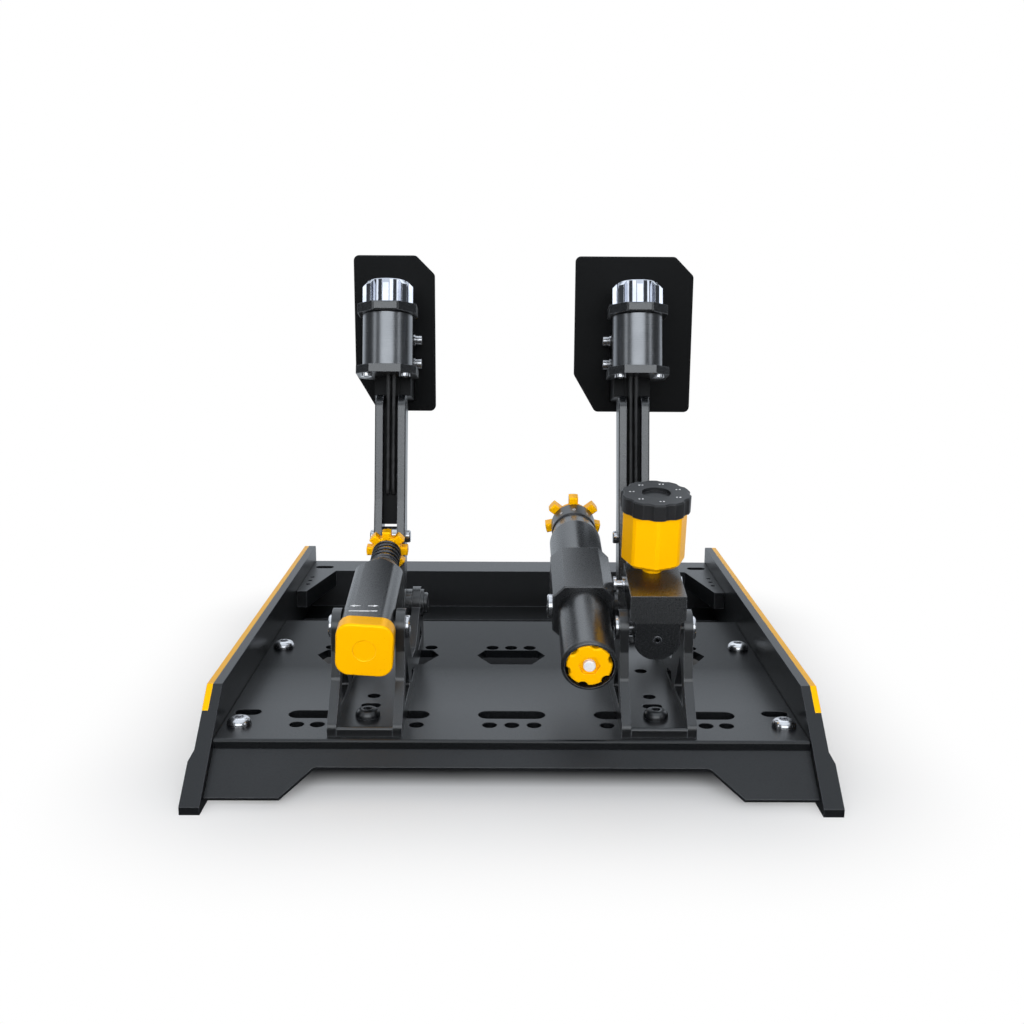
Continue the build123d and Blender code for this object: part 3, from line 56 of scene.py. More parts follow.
Node = bpy.types.Node
Pair = tuple[float, float]
Vec3 = tuple[float, float, float]
Tint = tuple[float, float, float]
Faces = list[tuple[int, ...]]

# Lengths are in metres and angles in radians.

WHITE: Tint = (1.0, 1.0, 1.0)
COOL: Tint = (0.85, 0.92, 1.0)
SKY = "ShaderNodeBackground"

# Colour sockets of Blender's Mix node, whose names are shared with its other data types.
MIX_FIRST, MIX_SECOND, MIX_RESULT = 6, 7, 2

BEVEL_SAMPLES = 6

# Share of its strength that each finer octave of a noise keeps.
NOISE_KEEP = 0.55

# A printed mark floats this far off its face, so that the two never lie in one plane.
INK_GAP = 0.00002
INK_THICKNESS = 0.00008

# At rest both cylinders have their trunnion bolts at the same Y and Z and rise by the same angle.
TRUNNION: Pair = (-0.142, 0.0925)
CYLINDER_RISE = math.radians(10.4251)


class Body(Enum):
    """Moving groups of the frame that the new pieces ride on."""

    THROTTLE_CYLINDER = "throttle_cylinder"
    BRAKE_UNIT = "brake_unit"
    FLUID_CAP = "brake_fluid_cap"


@dataclass(frozen=True)
class Ramp:
    """Takes a value from start to end and gives low to high, held at both ends."""

    start: float
    end: float
    low: float = 0.0
    high: float = 1.0
    smooth: bool = False


EDGE_RAMP = Ramp(0.02, 0.16)


class NodeSheet:
    """A node tree with short calls for adding and linking nodes."""

    def __init__(self, tree: bpy.types.NodeTree) -> None:
        """Empties a tree and adds its coordinates.

        Args:
            tree: Tree of a material or a world.
        """
        self.tree = tree
        self.tree.nodes.clear()
        self.place = self.add("ShaderNodeTexCoord")

    def add(self, kind: str, **settings: object) -> Node:
        """Adds a node and sets its properties, or its inputs where the name starts with in_.

        Args:
            kind: Blender's node type name.
            **settings: Property values, or input values as in_<socket name with underscores>.

        Returns:
            The new node.
        """
        node = self.tree.nodes.new(kind)
        for key, value in settings.items():
            if key.startswith("in_"):
                node.inputs[key[3:].replace("_", " ")].default_value = value
            else:
                setattr(node, key, value)
        return node

    def join(self, start: Node, out: str | int, end: Node, into: str | int) -> None:
        """Links an output of one node to an input of another."""
        self.tree.links.new(start.outputs[out], end.inputs[into])

    def axes(self, space: str) -> Node:
        """Coordinates of a space, split into X, Y and Z.

        Args:
            space: Output of the coordinate node, "Object" or "Generated".

        Returns:
            The Separate XYZ node.
        """
        node = self.add("ShaderNodeSeparateXYZ")
        self.join(self.place, space, node, 0)
        return node

    def spread(self, source: Node, out: str, ramp: Ramp) -> Node:
        """Sends a value through a ramp.

        Args:
            source: Node that gives the value.
            out: Its output.
            ramp: Limits of the value and of the result.

        Returns:
            The Map Range node, with its result in output 0.
        """
        node = self.add("ShaderNodeMapRange", in_From_Min=ramp.start, in_From_Max=ramp.end,
                        in_To_Min=ramp.low, in_To_Max=ramp.high)
        if ramp.smooth:
            node.interpolation_type = "SMOOTHSTEP"
        self.join(source, out, node, "Value")
        return node

    def compute(self, operation: str, *terms: float | tuple[Node, str]) -> Node:
        """Does a sum on numbers and outputs.

        Args:
            operation: Blender's name of the operation.
            *terms: Numbers, or pairs of a node and its output.

        Returns:
            The Math node, with its result in output 0.
        """
        node = self.add("ShaderNodeMath", operation=operation)
        for index, term in enumerate(terms):
            if isinstance(term, tuple):
                self.join(*term, node, index)
            else:
                node.inputs[index].default_value = term
        return node

    def glow(self, tint: Tint, strength: Node | float = 1.0, kind: str = "ShaderNodeEmission") -> Node:
        """Adds a shader that gives off light.

        Args:
            tint: Its colour.
            strength: Its strength, or the node whose output 0 gives it.
            kind: Emission for a surface, Background for a world.

        Returns:
            The shader node.
        """
        node = self.add(kind, in_Color=(*tint, 1.0))
        if isinstance(strength, Node):
            self.join(strength, 0, node, "Strength")
        else:
            node.inputs["Strength"].default_value = strength
        return node

    def choose(self, share: Node, out: str | int, first: Node, second: Node) -> Node:
        """Mixes two shaders.

        Args:
            share: Node that gives the share of the second shader.
            out: Its output.
            first: Shader where the share is 0.
            second: Shader where the share is 1.

        Returns:
            The Mix Shader node.
        """
        node = self.add("ShaderNodeMixShader")
        self.join(share, out, node, 0)
        self.join(first, 0, node, 1)
        self.join(second, 0, node, 2)
        return node


class MaterialSheet(NodeSheet):
    """The node tree of a new material, with a shader and an output."""

    def __init__(self, name: str) -> None:
        """Makes the material.

        Args:
            name: Name of the material.
        """
        self.material = bpy.data.materials.new(name)
        self.material.use_nodes = True
        super().__init__(self.material.node_tree)
        self.output = self.add("ShaderNodeOutputMaterial")
        self.shader = self.add("ShaderNodeBsdfPrincipled")
        self.join(self.shader, "BSDF", self.output, "Surface")

    def level(self, name: str, value: float) -> None:
        """Sets an input of the shader."""
        self.shader.inputs[name].default_value = value

    def paint(self, colour: Node) -> None:
        """Gives the shader the colour of a Mix node."""
        self.join(colour, MIX_RESULT, self.shader, "Base Color")

    def mapped(self, scale: Vec3, tilt: float = 0.0) -> Node:
        """Object coordinates through a Mapping node.

        Args:
            scale: Stretch of the pattern along X, Y and Z.
            tilt: Turn about X in radians, to line the pattern up with a leaning piece.

        Returns:
            The Mapping node.
        """
        mapping = self.add("ShaderNodeMapping", in_Rotation=(tilt, 0.0, 0.0), in_Scale=scale)
        self.join(self.place, "Object", mapping, "Vector")
        return mapping

    def noise(self, scale: float, detail: float, mapping: Node | None = None) -> Node:
        """Noise on Object coordinates, or on a mapping of them.

        Args:
            scale: Cells per metre.
            detail: Octaves.
            mapping: Mapping node to read, if any.

        Returns:
            The noise node.
        """
        node = self.add("ShaderNodeTexNoise", in_Scale=scale, in_Detail=detail, in_Roughness=NOISE_KEEP)
        if mapping is None:
            self.join(self.place, "Object", node, "Vector")
        else:
            self.join(mapping, "Vector", node, "Vector")
        return node

    def blend(self, share: Node, first: Tint | Node, second: Tint) -> Node:
        """Mixes two colours.

        Args:
            share: Node whose output 0 gives the share of the second colour.
            first: Colour where the share is 0, or the Mix node that gives it.
            second: Colour where the share is 1.

        Returns:
            The Mix node.
        """
        node = self.add("ShaderNodeMix", data_type="RGBA")
        if isinstance(first, Node):
            self.join(first, MIX_RESULT, node, MIX_FIRST)
        else:
            node.inputs[MIX_FIRST].default_value = (*first, 1.0)
        node.inputs[MIX_SECOND].default_value = (*second, 1.0)
        self.join(share, 0, node, 0)
        return node

    def patches(self, noise: Node, band: Pair, first: Tint, second: Tint) -> Node:
        """Two colours that change over a band of a noise's values."""
        return self.blend(self.spread(noise, "Fac", Ramp(*band)), first, second)

    def roughen(self, source: Node, out: str, rough: Pair, band: Pair = (0.3, 0.7)) -> None:
        """Lets a pattern drive the shader's roughness.

        Args:
            source: Node that gives the pattern.
            out: Its output.
            rough: Roughness at the start and at the end of the band.
            band: Values of the pattern over which the roughness changes.
        """
        self.join(self.spread(source, out, Ramp(*band, *rough)), "Result", self.shader, "Roughness")

    def bevel(self, radius: float) -> Node:
        """Adds a normal that is rounded near edges, over a radius in metres."""
        return self.add("ShaderNodeBevel", samples=BEVEL_SAMPLES, in_Radius=radius)

    def worn_edges(self, body: Node, edge: Tint, radius: float) -> Node:
        """Paints the shader with a paler colour on edges, part wear and part painted highlight.

        The share of the edge's colour rises with 1 less the dot of the rounded and the true normal.

        Args:
            body: Mix node of the colour away from edges.
            edge: Colour on edges, part wear and part painted highlight.
            radius: How far an edge reaches, in metres.

        Returns:
            The Bevel node.
        """
        bevel = self.bevel(radius)
        geometry = self.add("ShaderNodeNewGeometry")
        dot = self.add("ShaderNodeVectorMath", operation="DOT_PRODUCT")
        self.join(bevel, "Normal", dot, 0)
        self.join(geometry, "Normal", dot, 1)
        less = self.compute("SUBTRACT", 1.0, (dot, "Value"))
        self.paint(self.blend(self.spread(less, "Value", EDGE_RAMP), body, edge))
        return bevel

    def relief(self, height: Node, out: str, strength: float, depth: float,
               normal: Node | None = None) -> None:
        """Gives the shader bumps, on top of a rounded normal where one is given.

        Args:
            height: Node that gives the height.
            out: Its output.
            strength: Share of the bump.
            depth: Height of 1 in metres.
            normal: Node whose Normal output lies below, if any.
        """
        bump = self.add("ShaderNodeBump", in_Strength=strength, in_Distance=depth)
        self.join(height, out, bump, "Height")
        if normal is not None:
            self.join(normal, "Normal", bump, "Normal")
        self.join(bump, "Normal", self.shader, "Normal")


@dataclass(frozen=True)
class Finish(ABC):
    """A surface finish that makes one Blender material.

    In every finish a noise is a pair of cells per metre and octaves, a band holds the values of
    the noise over which a colour changes, rough is a pair of limits and depth is in metres.
    """

    name: str

    @abstractmethod
    def build(self) -> bpy.types.Material:
        """Makes the material."""


@dataclass(frozen=True)
class Anodised(Finish):
    """Bead-blasted, anodised aluminium: a fine satin grain, soft mottling and paler edges,
    part wear and part painted highlight.
    """

    tint: Tint
    shade: Tint
    edge: Tint
    rough: Pair
    metallic: float = 0.0
    specular: float = 0.6
    index: float = 1.7
    edge_radius: float = 0.0006
    cloud: Pair = (26.0, 4.0)
    band: Pair = (0.32, 0.68)
    grain: Pair = (2600.0, 2.0)
    strength: float = 0.06
    depth: float = 0.00003

    def build(self) -> bpy.types.Material:
        """Colour = mottle of tint and shade, then the paler edge colour, part wear and part painted
        highlight; the grain drives the rest.
        """
        sheet = MaterialSheet(self.name)
        body = sheet.patches(sheet.noise(*self.cloud), self.band, self.tint, self.shade)
        bevel = sheet.worn_edges(body, self.edge, self.edge_radius)
        sheet.level("Metallic", self.metallic)
        sheet.level("Specular IOR Level", self.specular)
        sheet.level("IOR", self.index)
        fine = sheet.noise(*self.grain)
        sheet.roughen(fine, "Fac", self.rough)
        sheet.relief(fine, "Fac", self.strength, self.depth, bevel)
        return sheet.material


@dataclass(frozen=True)
class PowderCoat(Finish):
    """Fine powder coat on steel plate: pebbled skin, dull sheen, thin paler edges, part wear and
    part painted highlight.
    """

    tint: Tint
    shade: Tint
    edge: Tint
    pebble: float
    rough: Pair
    depth: float
    strength: float
    gloss: float | Ramp = 0.5
    edge_radius: float = 0.0007
    cloud: Pair = (9.0, 5.0)
    band: Pair = (0.35, 0.65)
    pebble_band: Pair = (0.0, 0.7)

    def build(self) -> bpy.types.Material:
        """Height and roughness = cells of a Voronoi pattern; a gloss ramp runs along Y."""
        sheet = MaterialSheet(self.name)
        body = sheet.patches(sheet.noise(*self.cloud), self.band, self.tint, self.shade)
        bevel = sheet.worn_edges(body, self.edge, self.edge_radius)
        pebbles = sheet.add("ShaderNodeTexVoronoi", feature="SMOOTH_F1", in_Scale=self.pebble)
        sheet.join(sheet.place, "Object", pebbles, "Vector")
        sheet.roughen(pebbles, "Distance", self.rough, self.pebble_band)
        if isinstance(self.gloss, Ramp):
            level = sheet.spread(sheet.axes("Object"), "Y", self.gloss)
            sheet.join(level, "Result", sheet.shader, "Specular IOR Level")
        else:
            sheet.level("Specular IOR Level", self.gloss)
        sheet.relief(pebbles, "Distance", self.strength, self.depth, bevel)
        return sheet.material


@dataclass(frozen=True)
class BrightMetal(Finish):
    """Bare or plated metal: fine turning lines, cloudy polish and soft edges."""

    tint: Tint
    shade: Tint
    rough: Pair = (0.14, 0.3)
    lines: Vec3 = (1800.0, 1800.0, 1800.0)
    tilt: float = 0.0
    strength: float = 0.08
    metallic: float = 1.0
    edge_radius: float = 0.0004
    cloud: Pair = (60.0, 3.0)
    band: Pair = (0.35, 0.65)
    brush: Pair = (1.0, 3.0)
    depth: float = 0.00003

    def build(self) -> bpy.types.Material:
        """Roughness and relief follow noise that is stretched along the brushing."""
        sheet = MaterialSheet(self.name)
        sheet.paint(sheet.patches(sheet.noise(*self.cloud), self.band, self.tint, self.shade))
        sheet.level("Metallic", self.metallic)
        brush = sheet.noise(*self.brush, sheet.mapped(self.lines, self.tilt))
        sheet.roughen(brush, "Fac", self.rough)
        sheet.relief(brush, "Fac", self.strength, self.depth, sheet.bevel(self.edge_radius))
        return sheet.material


@dataclass(frozen=True)
class Rubber(Finish):
    """Matt rubber jacket with a faint bloom."""

    tint: Tint
    bloom: Tint
    rough: Pair = (0.45, 0.65)
    cloud: Pair = (180.0, 4.0)
    band: Pair = (0.4, 0.75)
    grain: Pair = (3000.0, 2.0)
    strength: float = 0.15
    depth: float = 0.00004

    def build(self) -> bpy.types.Material:
        """Colour = tint with a paler, rougher bloom where the cloud is high."""
        sheet = MaterialSheet(self.name)
        cloud = sheet.noise(*self.cloud)
        sheet.paint(sheet.patches(cloud, self.band, self.tint, self.bloom))
        sheet.roughen(cloud, "Fac", self.rough)
        sheet.relief(sheet.noise(*self.grain), "Fac", self.strength, self.depth)
        return sheet.material


@dataclass(frozen=True)
class PrintedInk(Finish):
    """Pale screen-printed or laser-etched mark, a little broken up."""

    tint: Tint
    worn: Tint
    rough: Pair = (0.5, 0.7)
    speck: Pair = (2200.0, 3.0)
    band: Pair = (0.45, 0.8)

    def build(self) -> bpy.types.Material:
        """Colour = tint, broken by fine noise towards the worn colour."""
        sheet = MaterialSheet(self.name)
        speck = sheet.noise(*self.speck)
        sheet.paint(sheet.patches(speck, self.band, self.tint, self.worn))
        sheet.roughen(speck, "Fac", self.rough)
        return sheet.material


# Lean of the pedal arms and their motors from upright, at rest.
LEAN = math.radians(14.0)

BLACK = (0.0028, 0.0034, 0.0042)
BLACK_SHADE = (0.0042, 0.0049, 0.0059)

# The third colour of each Anodised and PowderCoat finish is its paler edge colour: part wear and part
# painted highlight.
FINISHES: dict[str, Finish] = {finish.name: finish for finish in (
    Anodised("black_anodised", BLACK, BLACK_SHADE, (0.11, 0.117, 0.13), (0.27, 0.36)),
    Anodised("black_machined", (0.0045, 0.0052, 0.0062), (0.0065, 0.0073, 0.0085), (0.09, 0.096, 0.108),
             (0.24, 0.33), grain=(1800.0, 2.0), index=1.85),
    Anodised("arm_edge", (0.005, 0.0058, 0.007), (0.008, 0.009, 0.0105), (0.12, 0.127, 0.14),
             (0.22, 0.32), edge_radius=0.0009, index=1.85),
    Anodised("cap_plastic", (0.010, 0.0105, 0.012), (0.013, 0.0137, 0.0155), (0.05, 0.052, 0.056),
             (0.4, 0.5), index=1.5),
    Anodised("yellow_anodised", (1.0, 0.49, 0.0), (0.98, 0.465, 0.0), (1.0, 0.6, 0.02),
             (0.27, 0.34), metallic=0.35, grain=(2200.0, 2.0), specular=0.12, index=1.5),
    # Darker than the arm plates, for the cores between them: painted shade of the gap.
    Anodised("painted_shade_black", (0.0008, 0.0011, 0.0014), (0.0012, 0.0015, 0.0019), (0.01, 0.011, 0.012),
             (0.4, 0.5), specular=0.2, index=1.45),
    PowderCoat("plate_coat", BLACK, BLACK_SHADE, (0.035, 0.037, 0.042), pebble=2600.0,
               rough=(0.22, 0.38), depth=0.00003, strength=0.12, gloss=Ramp(-0.13, -0.05, 0.55, 0.1)),
    PowderCoat("rail_coat", (0.004, 0.0046, 0.0056), (0.006, 0.0068, 0.008), (0.07, 0.075, 0.085),
               pebble=2400.0, rough=(0.24, 0.4), depth=0.00003, strength=0.15),
    PowderCoat("skirt_coat", (0.006, 0.0068, 0.008), (0.011, 0.012, 0.0137), (0.07, 0.075, 0.08),
               pebble=1100.0, rough=(0.36, 0.52), depth=0.00012, strength=0.55),
    PowderCoat("pad_coat", (0.0007, 0.0011, 0.0015), (0.0012, 0.0016, 0.0021), (0.012, 0.013, 0.015),
               pebble=2000.0, rough=(0.4, 0.56), depth=0.00005, strength=0.3, gloss=0.22),
    BrightMetal("bright_steel", (0.72, 0.72, 0.73), (0.6, 0.6, 0.62)),
    BrightMetal("satin_nut", (0.78, 0.78, 0.8), (0.66, 0.66, 0.68), (0.25, 0.4), metallic=0.35),
    BrightMetal("chrome", (0.60, 0.62, 0.68), (0.50, 0.52, 0.58), (0.05, 0.12),
                lines=(900.0, 900.0, 60.0), tilt=-LEAN, strength=0.04),
    BrightMetal("can_metal", (0.27, 0.275, 0.285), (0.24, 0.245, 0.255), (0.27, 0.31),
                lines=(60.0, 60.0, 5200.0), tilt=-LEAN, strength=0.02),
    BrightMetal("spring_steel", (0.14, 0.14, 0.15), (0.08, 0.08, 0.085), (0.2, 0.34)),
    Rubber("lead_rubber", (0.007, 0.0075, 0.008), (0.02, 0.021, 0.023)),
    PrintedInk("pale_ink", (0.86, 0.87, 0.9), (0.55, 0.56, 0.59)),
)}


class Wardrobe:
    """Keeps one material per finish."""

    def __init__(self) -> None:
        """Starts with nothing made."""
        self.made: dict[str, bpy.types.Material] = {}

    def get(self, name: str) -> bpy.types.Material:
        """Gives the material of a finish, made on its first use."""
        if name not in self.made:
            self.made[name] = FINISHES[name].build()
        return self.made[name]


WARDROBE = Wardrobe()


class Piece:
    """A new mesh that rides on a body."""

    @staticmethod
    def make(name: str, points: np.ndarray, faces: Faces, finish: str, body: Body,
             slot: str, smooth: bool = True) -> bpy.types.Object:
        """Makes an object at the origin from points and faces in place.

        Args:
            name: Name of the piece.
            points: Array of n by 3, in metres.
            faces: Corner numbers of each face, seen from outside.
            finish: Key of its finish.
            body: Body it rides on.
            slot: Material slot of the record; not used.
            smooth: Whether its faces are shaded smooth.

        Returns:
            The new object.
        """
        mesh = bpy.data.meshes.new(name)
        mesh.from_pydata(points.tolist(), [], faces)
        mesh.polygons.foreach_set("use_smooth", [smooth] * len(mesh.polygons))
        mesh.update()
        piece = bpy.data.objects.new(name, mesh)
        bpy.context.scene.collection.objects.link(piece)
        mesh.materials.append(WARDROBE.get(finish))
        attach(piece, body.value)
        log.info("piece %s: %d points, %d faces, rides on %s", name, len(points), len(faces), body.value)
        return piece


def tube_faces(rings: int, sides: int) -> Faces:
    """Faces of a tube whose wall is rings of points and whose ends are fans.

    Cell (i, j) of the wall joins points j and j + 1 of ring i with those of ring i + 1. The
    middle points of the two ends follow the rings' points.

    Args:
        rings: Rings along the tube.
        sides: Points in a ring, which closes on itself.

    Returns:
        Corner numbers of each face.
    """
    i, j = np.meshgrid(np.arange(rings - 1), np.arange(sides), indexing="ij")
    here, beside = i * sides + j, i * sides + (j + 1) % sides
    wall = np.stack([here, beside, beside + sides, here + sides], -1).reshape(-1, 4)
    count = rings * sides
    low, after = np.arange(sides), np.roll(np.arange(sides), -1)
    last = count - sides
    near = np.column_stack([np.full(sides, count), after, low])
    far = np.column_stack([np.full(sides, count + 1), last + low, last + after])
    return [tuple(face) for faces in (wall, near, far) for face in faces.tolist()]


@dataclass
class Axle:
    """A straight axis with two side directions, for placing things on a leaning cylinder."""

    origin: np.ndarray
    rise: float

    def __post_init__(self) -> None:
        """Works out the axis, the direction square to it and to X, and X itself."""
        self.axis = np.array([0.0, math.cos(self.rise), math.sin(self.rise)])
        self.up = np.array([0.0, -math.sin(self.rise), math.cos(self.rise)])
        self.side = np.array([1.0, 0.0, 0.0])

    def point(self, along: np.ndarray | float, radius: np.ndarray | float,
              turn: np.ndarray | float) -> np.ndarray:
        """Point = origin + along * axis + radius * (cos turn * X + sin turn * up).

        Args:
            along: Distance along the axis.
            radius: Distance from the axis.
            turn: Angle from +X towards up, in radians.

        Returns:
            Array of points in the shared frame.
        """
        along, radius, turn = np.broadcast_arrays(along, radius, turn)
        return (self.origin + along[..., None] * self.axis
                + (radius * np.cos(turn))[..., None] * self.side
                + (radius * np.sin(turn))[..., None] * self.up)

    def laid(self, points: np.ndarray, along: float, height: float) -> np.ndarray:
        """Lays flat marks on a face: their x goes along X, their y along the axis and their z up.

        Args:
            points: Array of n by 3.
            along: Distance along the axis of the marks' own origin.
            height: Distance of the face above the axis.

        Returns:
            Array of points in the shared frame.
        """
        return (self.origin + points[:, :1] * self.side + (points[:, 1:2] + along) * self.axis
                + (points[:, 2:] + height) * self.up)


@dataclass
class ThrottleUnit:
    """Throttle cylinder: its spring and the plain marks on its housing."""

    x: float = -0.093
    pivot: Pair = TRUNNION
    rise: float = CYLINDER_RISE
    housing_end: float = 0.0867
    star_start: float = 0.11827
    wire: float = 0.00105
    coil: float = 0.0096
    turns: int = 6
    close_pitch: float = 0.00275
    seat: float = 0.0001
    stroke: float = 0.01184
    steps_per_turn: int = 40
    easing_steps: int = 17
    wire_sides: int = 14
    half_width: float = 0.0167
    mark_shift: float = -0.0025
    mark_back: float = 0.0068
    line_drop: float = 0.0037
    line_half: Pair = (0.0092, 0.00055)
    arrow_shift: float = 0.0058
    arrow_rise: float = 0.0035
    arrow_length: float = 0.0066
    arrow_half: float = 0.0015

    def __post_init__(self) -> None:
        """Sets the axis through the trunnion bolts."""
        self.axle = Axle(np.array([self.x, *self.pivot]), self.rise)

    def spring(self) -> bpy.types.Object:
        """Makes the coil spring as a tube along a helix.

        Wire centre: radius * (cos 2 pi u, sin 2 pi u) with a height that climbs by the close
        pitch over the first and the last turn and evenly between them; the tube is a circle of
        the wire's radius carried square to that path.

        Returns:
            The spring.
        """
        start = self.housing_end + self.seat + self.wire
        end = self.star_start - self.seat - self.wire
        knots = [0.0, 1.0, self.turns - 1.0, float(self.turns)]
        heights = [start, start + self.close_pitch, end - self.close_pitch, end]
        u = np.linspace(0.0, self.turns, self.turns * self.steps_per_turn + 1)
        height = np.pad(np.interp(u, knots, heights), self.easing_steps // 2, mode="edge")
        kernel = np.hanning(self.easing_steps) / np.hanning(self.easing_steps).sum()
        height = np.convolve(height, kernel, mode="valid")
        path = self.axle.point(height, self.coil, np.pi - 2 * np.pi * u)
        way = np.gradient(path, axis=0)
        way /= np.linalg.norm(way, axis=1, keepdims=True)
        out = path - self.axle.point(height, 0.0, 0.0)
        out -= (out * way).sum(1, keepdims=True) * way
        out /= np.linalg.norm(out, axis=1, keepdims=True)
        side = np.cross(way, out)
        v = np.linspace(0, 2 * np.pi, self.wire_sides, endpoint=False)[None, :, None]
        ring = self.wire * (np.cos(v) * out[:, None] + np.sin(v) * side[:, None])
        points = np.vstack([(path[:, None] + ring).reshape(-1, 3), path[:1], path[-1:]])
        piece = Piece.make("throttle_coil", points, tube_faces(len(u), self.wire_sides), "spring_steel",
                           Body.THROTTLE_CYLINDER, "spring_steel")
        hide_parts("throttle_spring")
        anchor = tuple(self.axle.point(start - self.wire, 0.0, 0.0).tolist())
        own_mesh(piece)
        return piece

    def marks(self) -> bpy.types.Object:
        """Two small arrows and a line printed on the housing's top face.

        Returns:
            The marks, as thin raised plates.
        """
        stencil = MarkStencil()
        stencil.bar((self.mark_shift, -self.line_drop), *self.line_half)
        for sign in (-1.0, 1.0):
            centre = (self.mark_shift + sign * self.arrow_shift, self.arrow_rise)
            stencil.arrow(centre, self.arrow_length, self.arrow_half, sign)
        points, faces = stencil.mesh()
        placed = self.axle.laid(points, -self.mark_back, self.half_width + INK_GAP)
        return Piece.make("housing_marks", placed, faces, "pale_ink", Body.THROTTLE_CYLINDER,
                          "black_anodised", smooth=False)


@dataclass
class MarkStencil:
    """Collects flat outlines and gives them a small thickness."""

    thickness: float = INK_THICKNESS
    outlines: list[np.ndarray] = field(default_factory=list)

    def bar(self, centre: Pair, half_length: float, half_width: float) -> None:
        """Adds a straight bar.

        Args:
            centre: Its middle.
            half_length: Half its length across.
            half_width: Half its width.
        """
        corners = np.array([(-1, -1), (1, -1), (1, 1), (-1, 1)])
        self.outlines.append(np.array(centre) + corners * np.array([half_length, half_width]))

    def arrow(self, centre: Pair, length: float, half_width: float, sign: float) -> None:
        """Adds an arrow that points left or right: a head and a thin shaft.

        Args:
            centre: Its middle.
            length: From tip to tail.
            half_width: Half the width of its head.
            sign: -1 for left, 1 for right.
        """
        tip, neck, shaft = length / 2, length / 2 - 2 * half_width, half_width / 4
        corners = np.array([(tip, 0.0), (neck, half_width), (neck, shaft), (-tip, shaft),
                            (-tip, -shaft), (neck, -shaft), (neck, -half_width)])
        self.outlines.append(np.array(centre) + corners * np.array([sign, 1.0]))

    def mesh(self) -> tuple[np.ndarray, Faces]:
        """Raises each outline to the thickness: a top face, a bottom face and walls.

        Returns:
            Points and faces.
        """
        points: list[np.ndarray] = []
        faces: Faces = []
        start = 0
        for outline in self.outlines:
            x, y = outline.T
            area = 0.5 * np.sum(x * np.roll(y, -1) - np.roll(x, -1) * y)
            ring = outline if area > 0 else outline[::-1]
            n = len(ring)
            points.append(np.column_stack([ring, np.zeros(n)]))
            points.append(np.column_stack([ring, np.full(n, self.thickness)]))
            low = np.arange(n) + start
            beside = np.roll(low, -1)
            faces.append(tuple((low + n).tolist()))
            faces.append(tuple(low[::-1].tolist()))
            faces += [tuple(wall) for wall in np.column_stack([low, beside, beside + n, low + n]).tolist()]
            start += 2 * n
        return np.vstack(points), faces


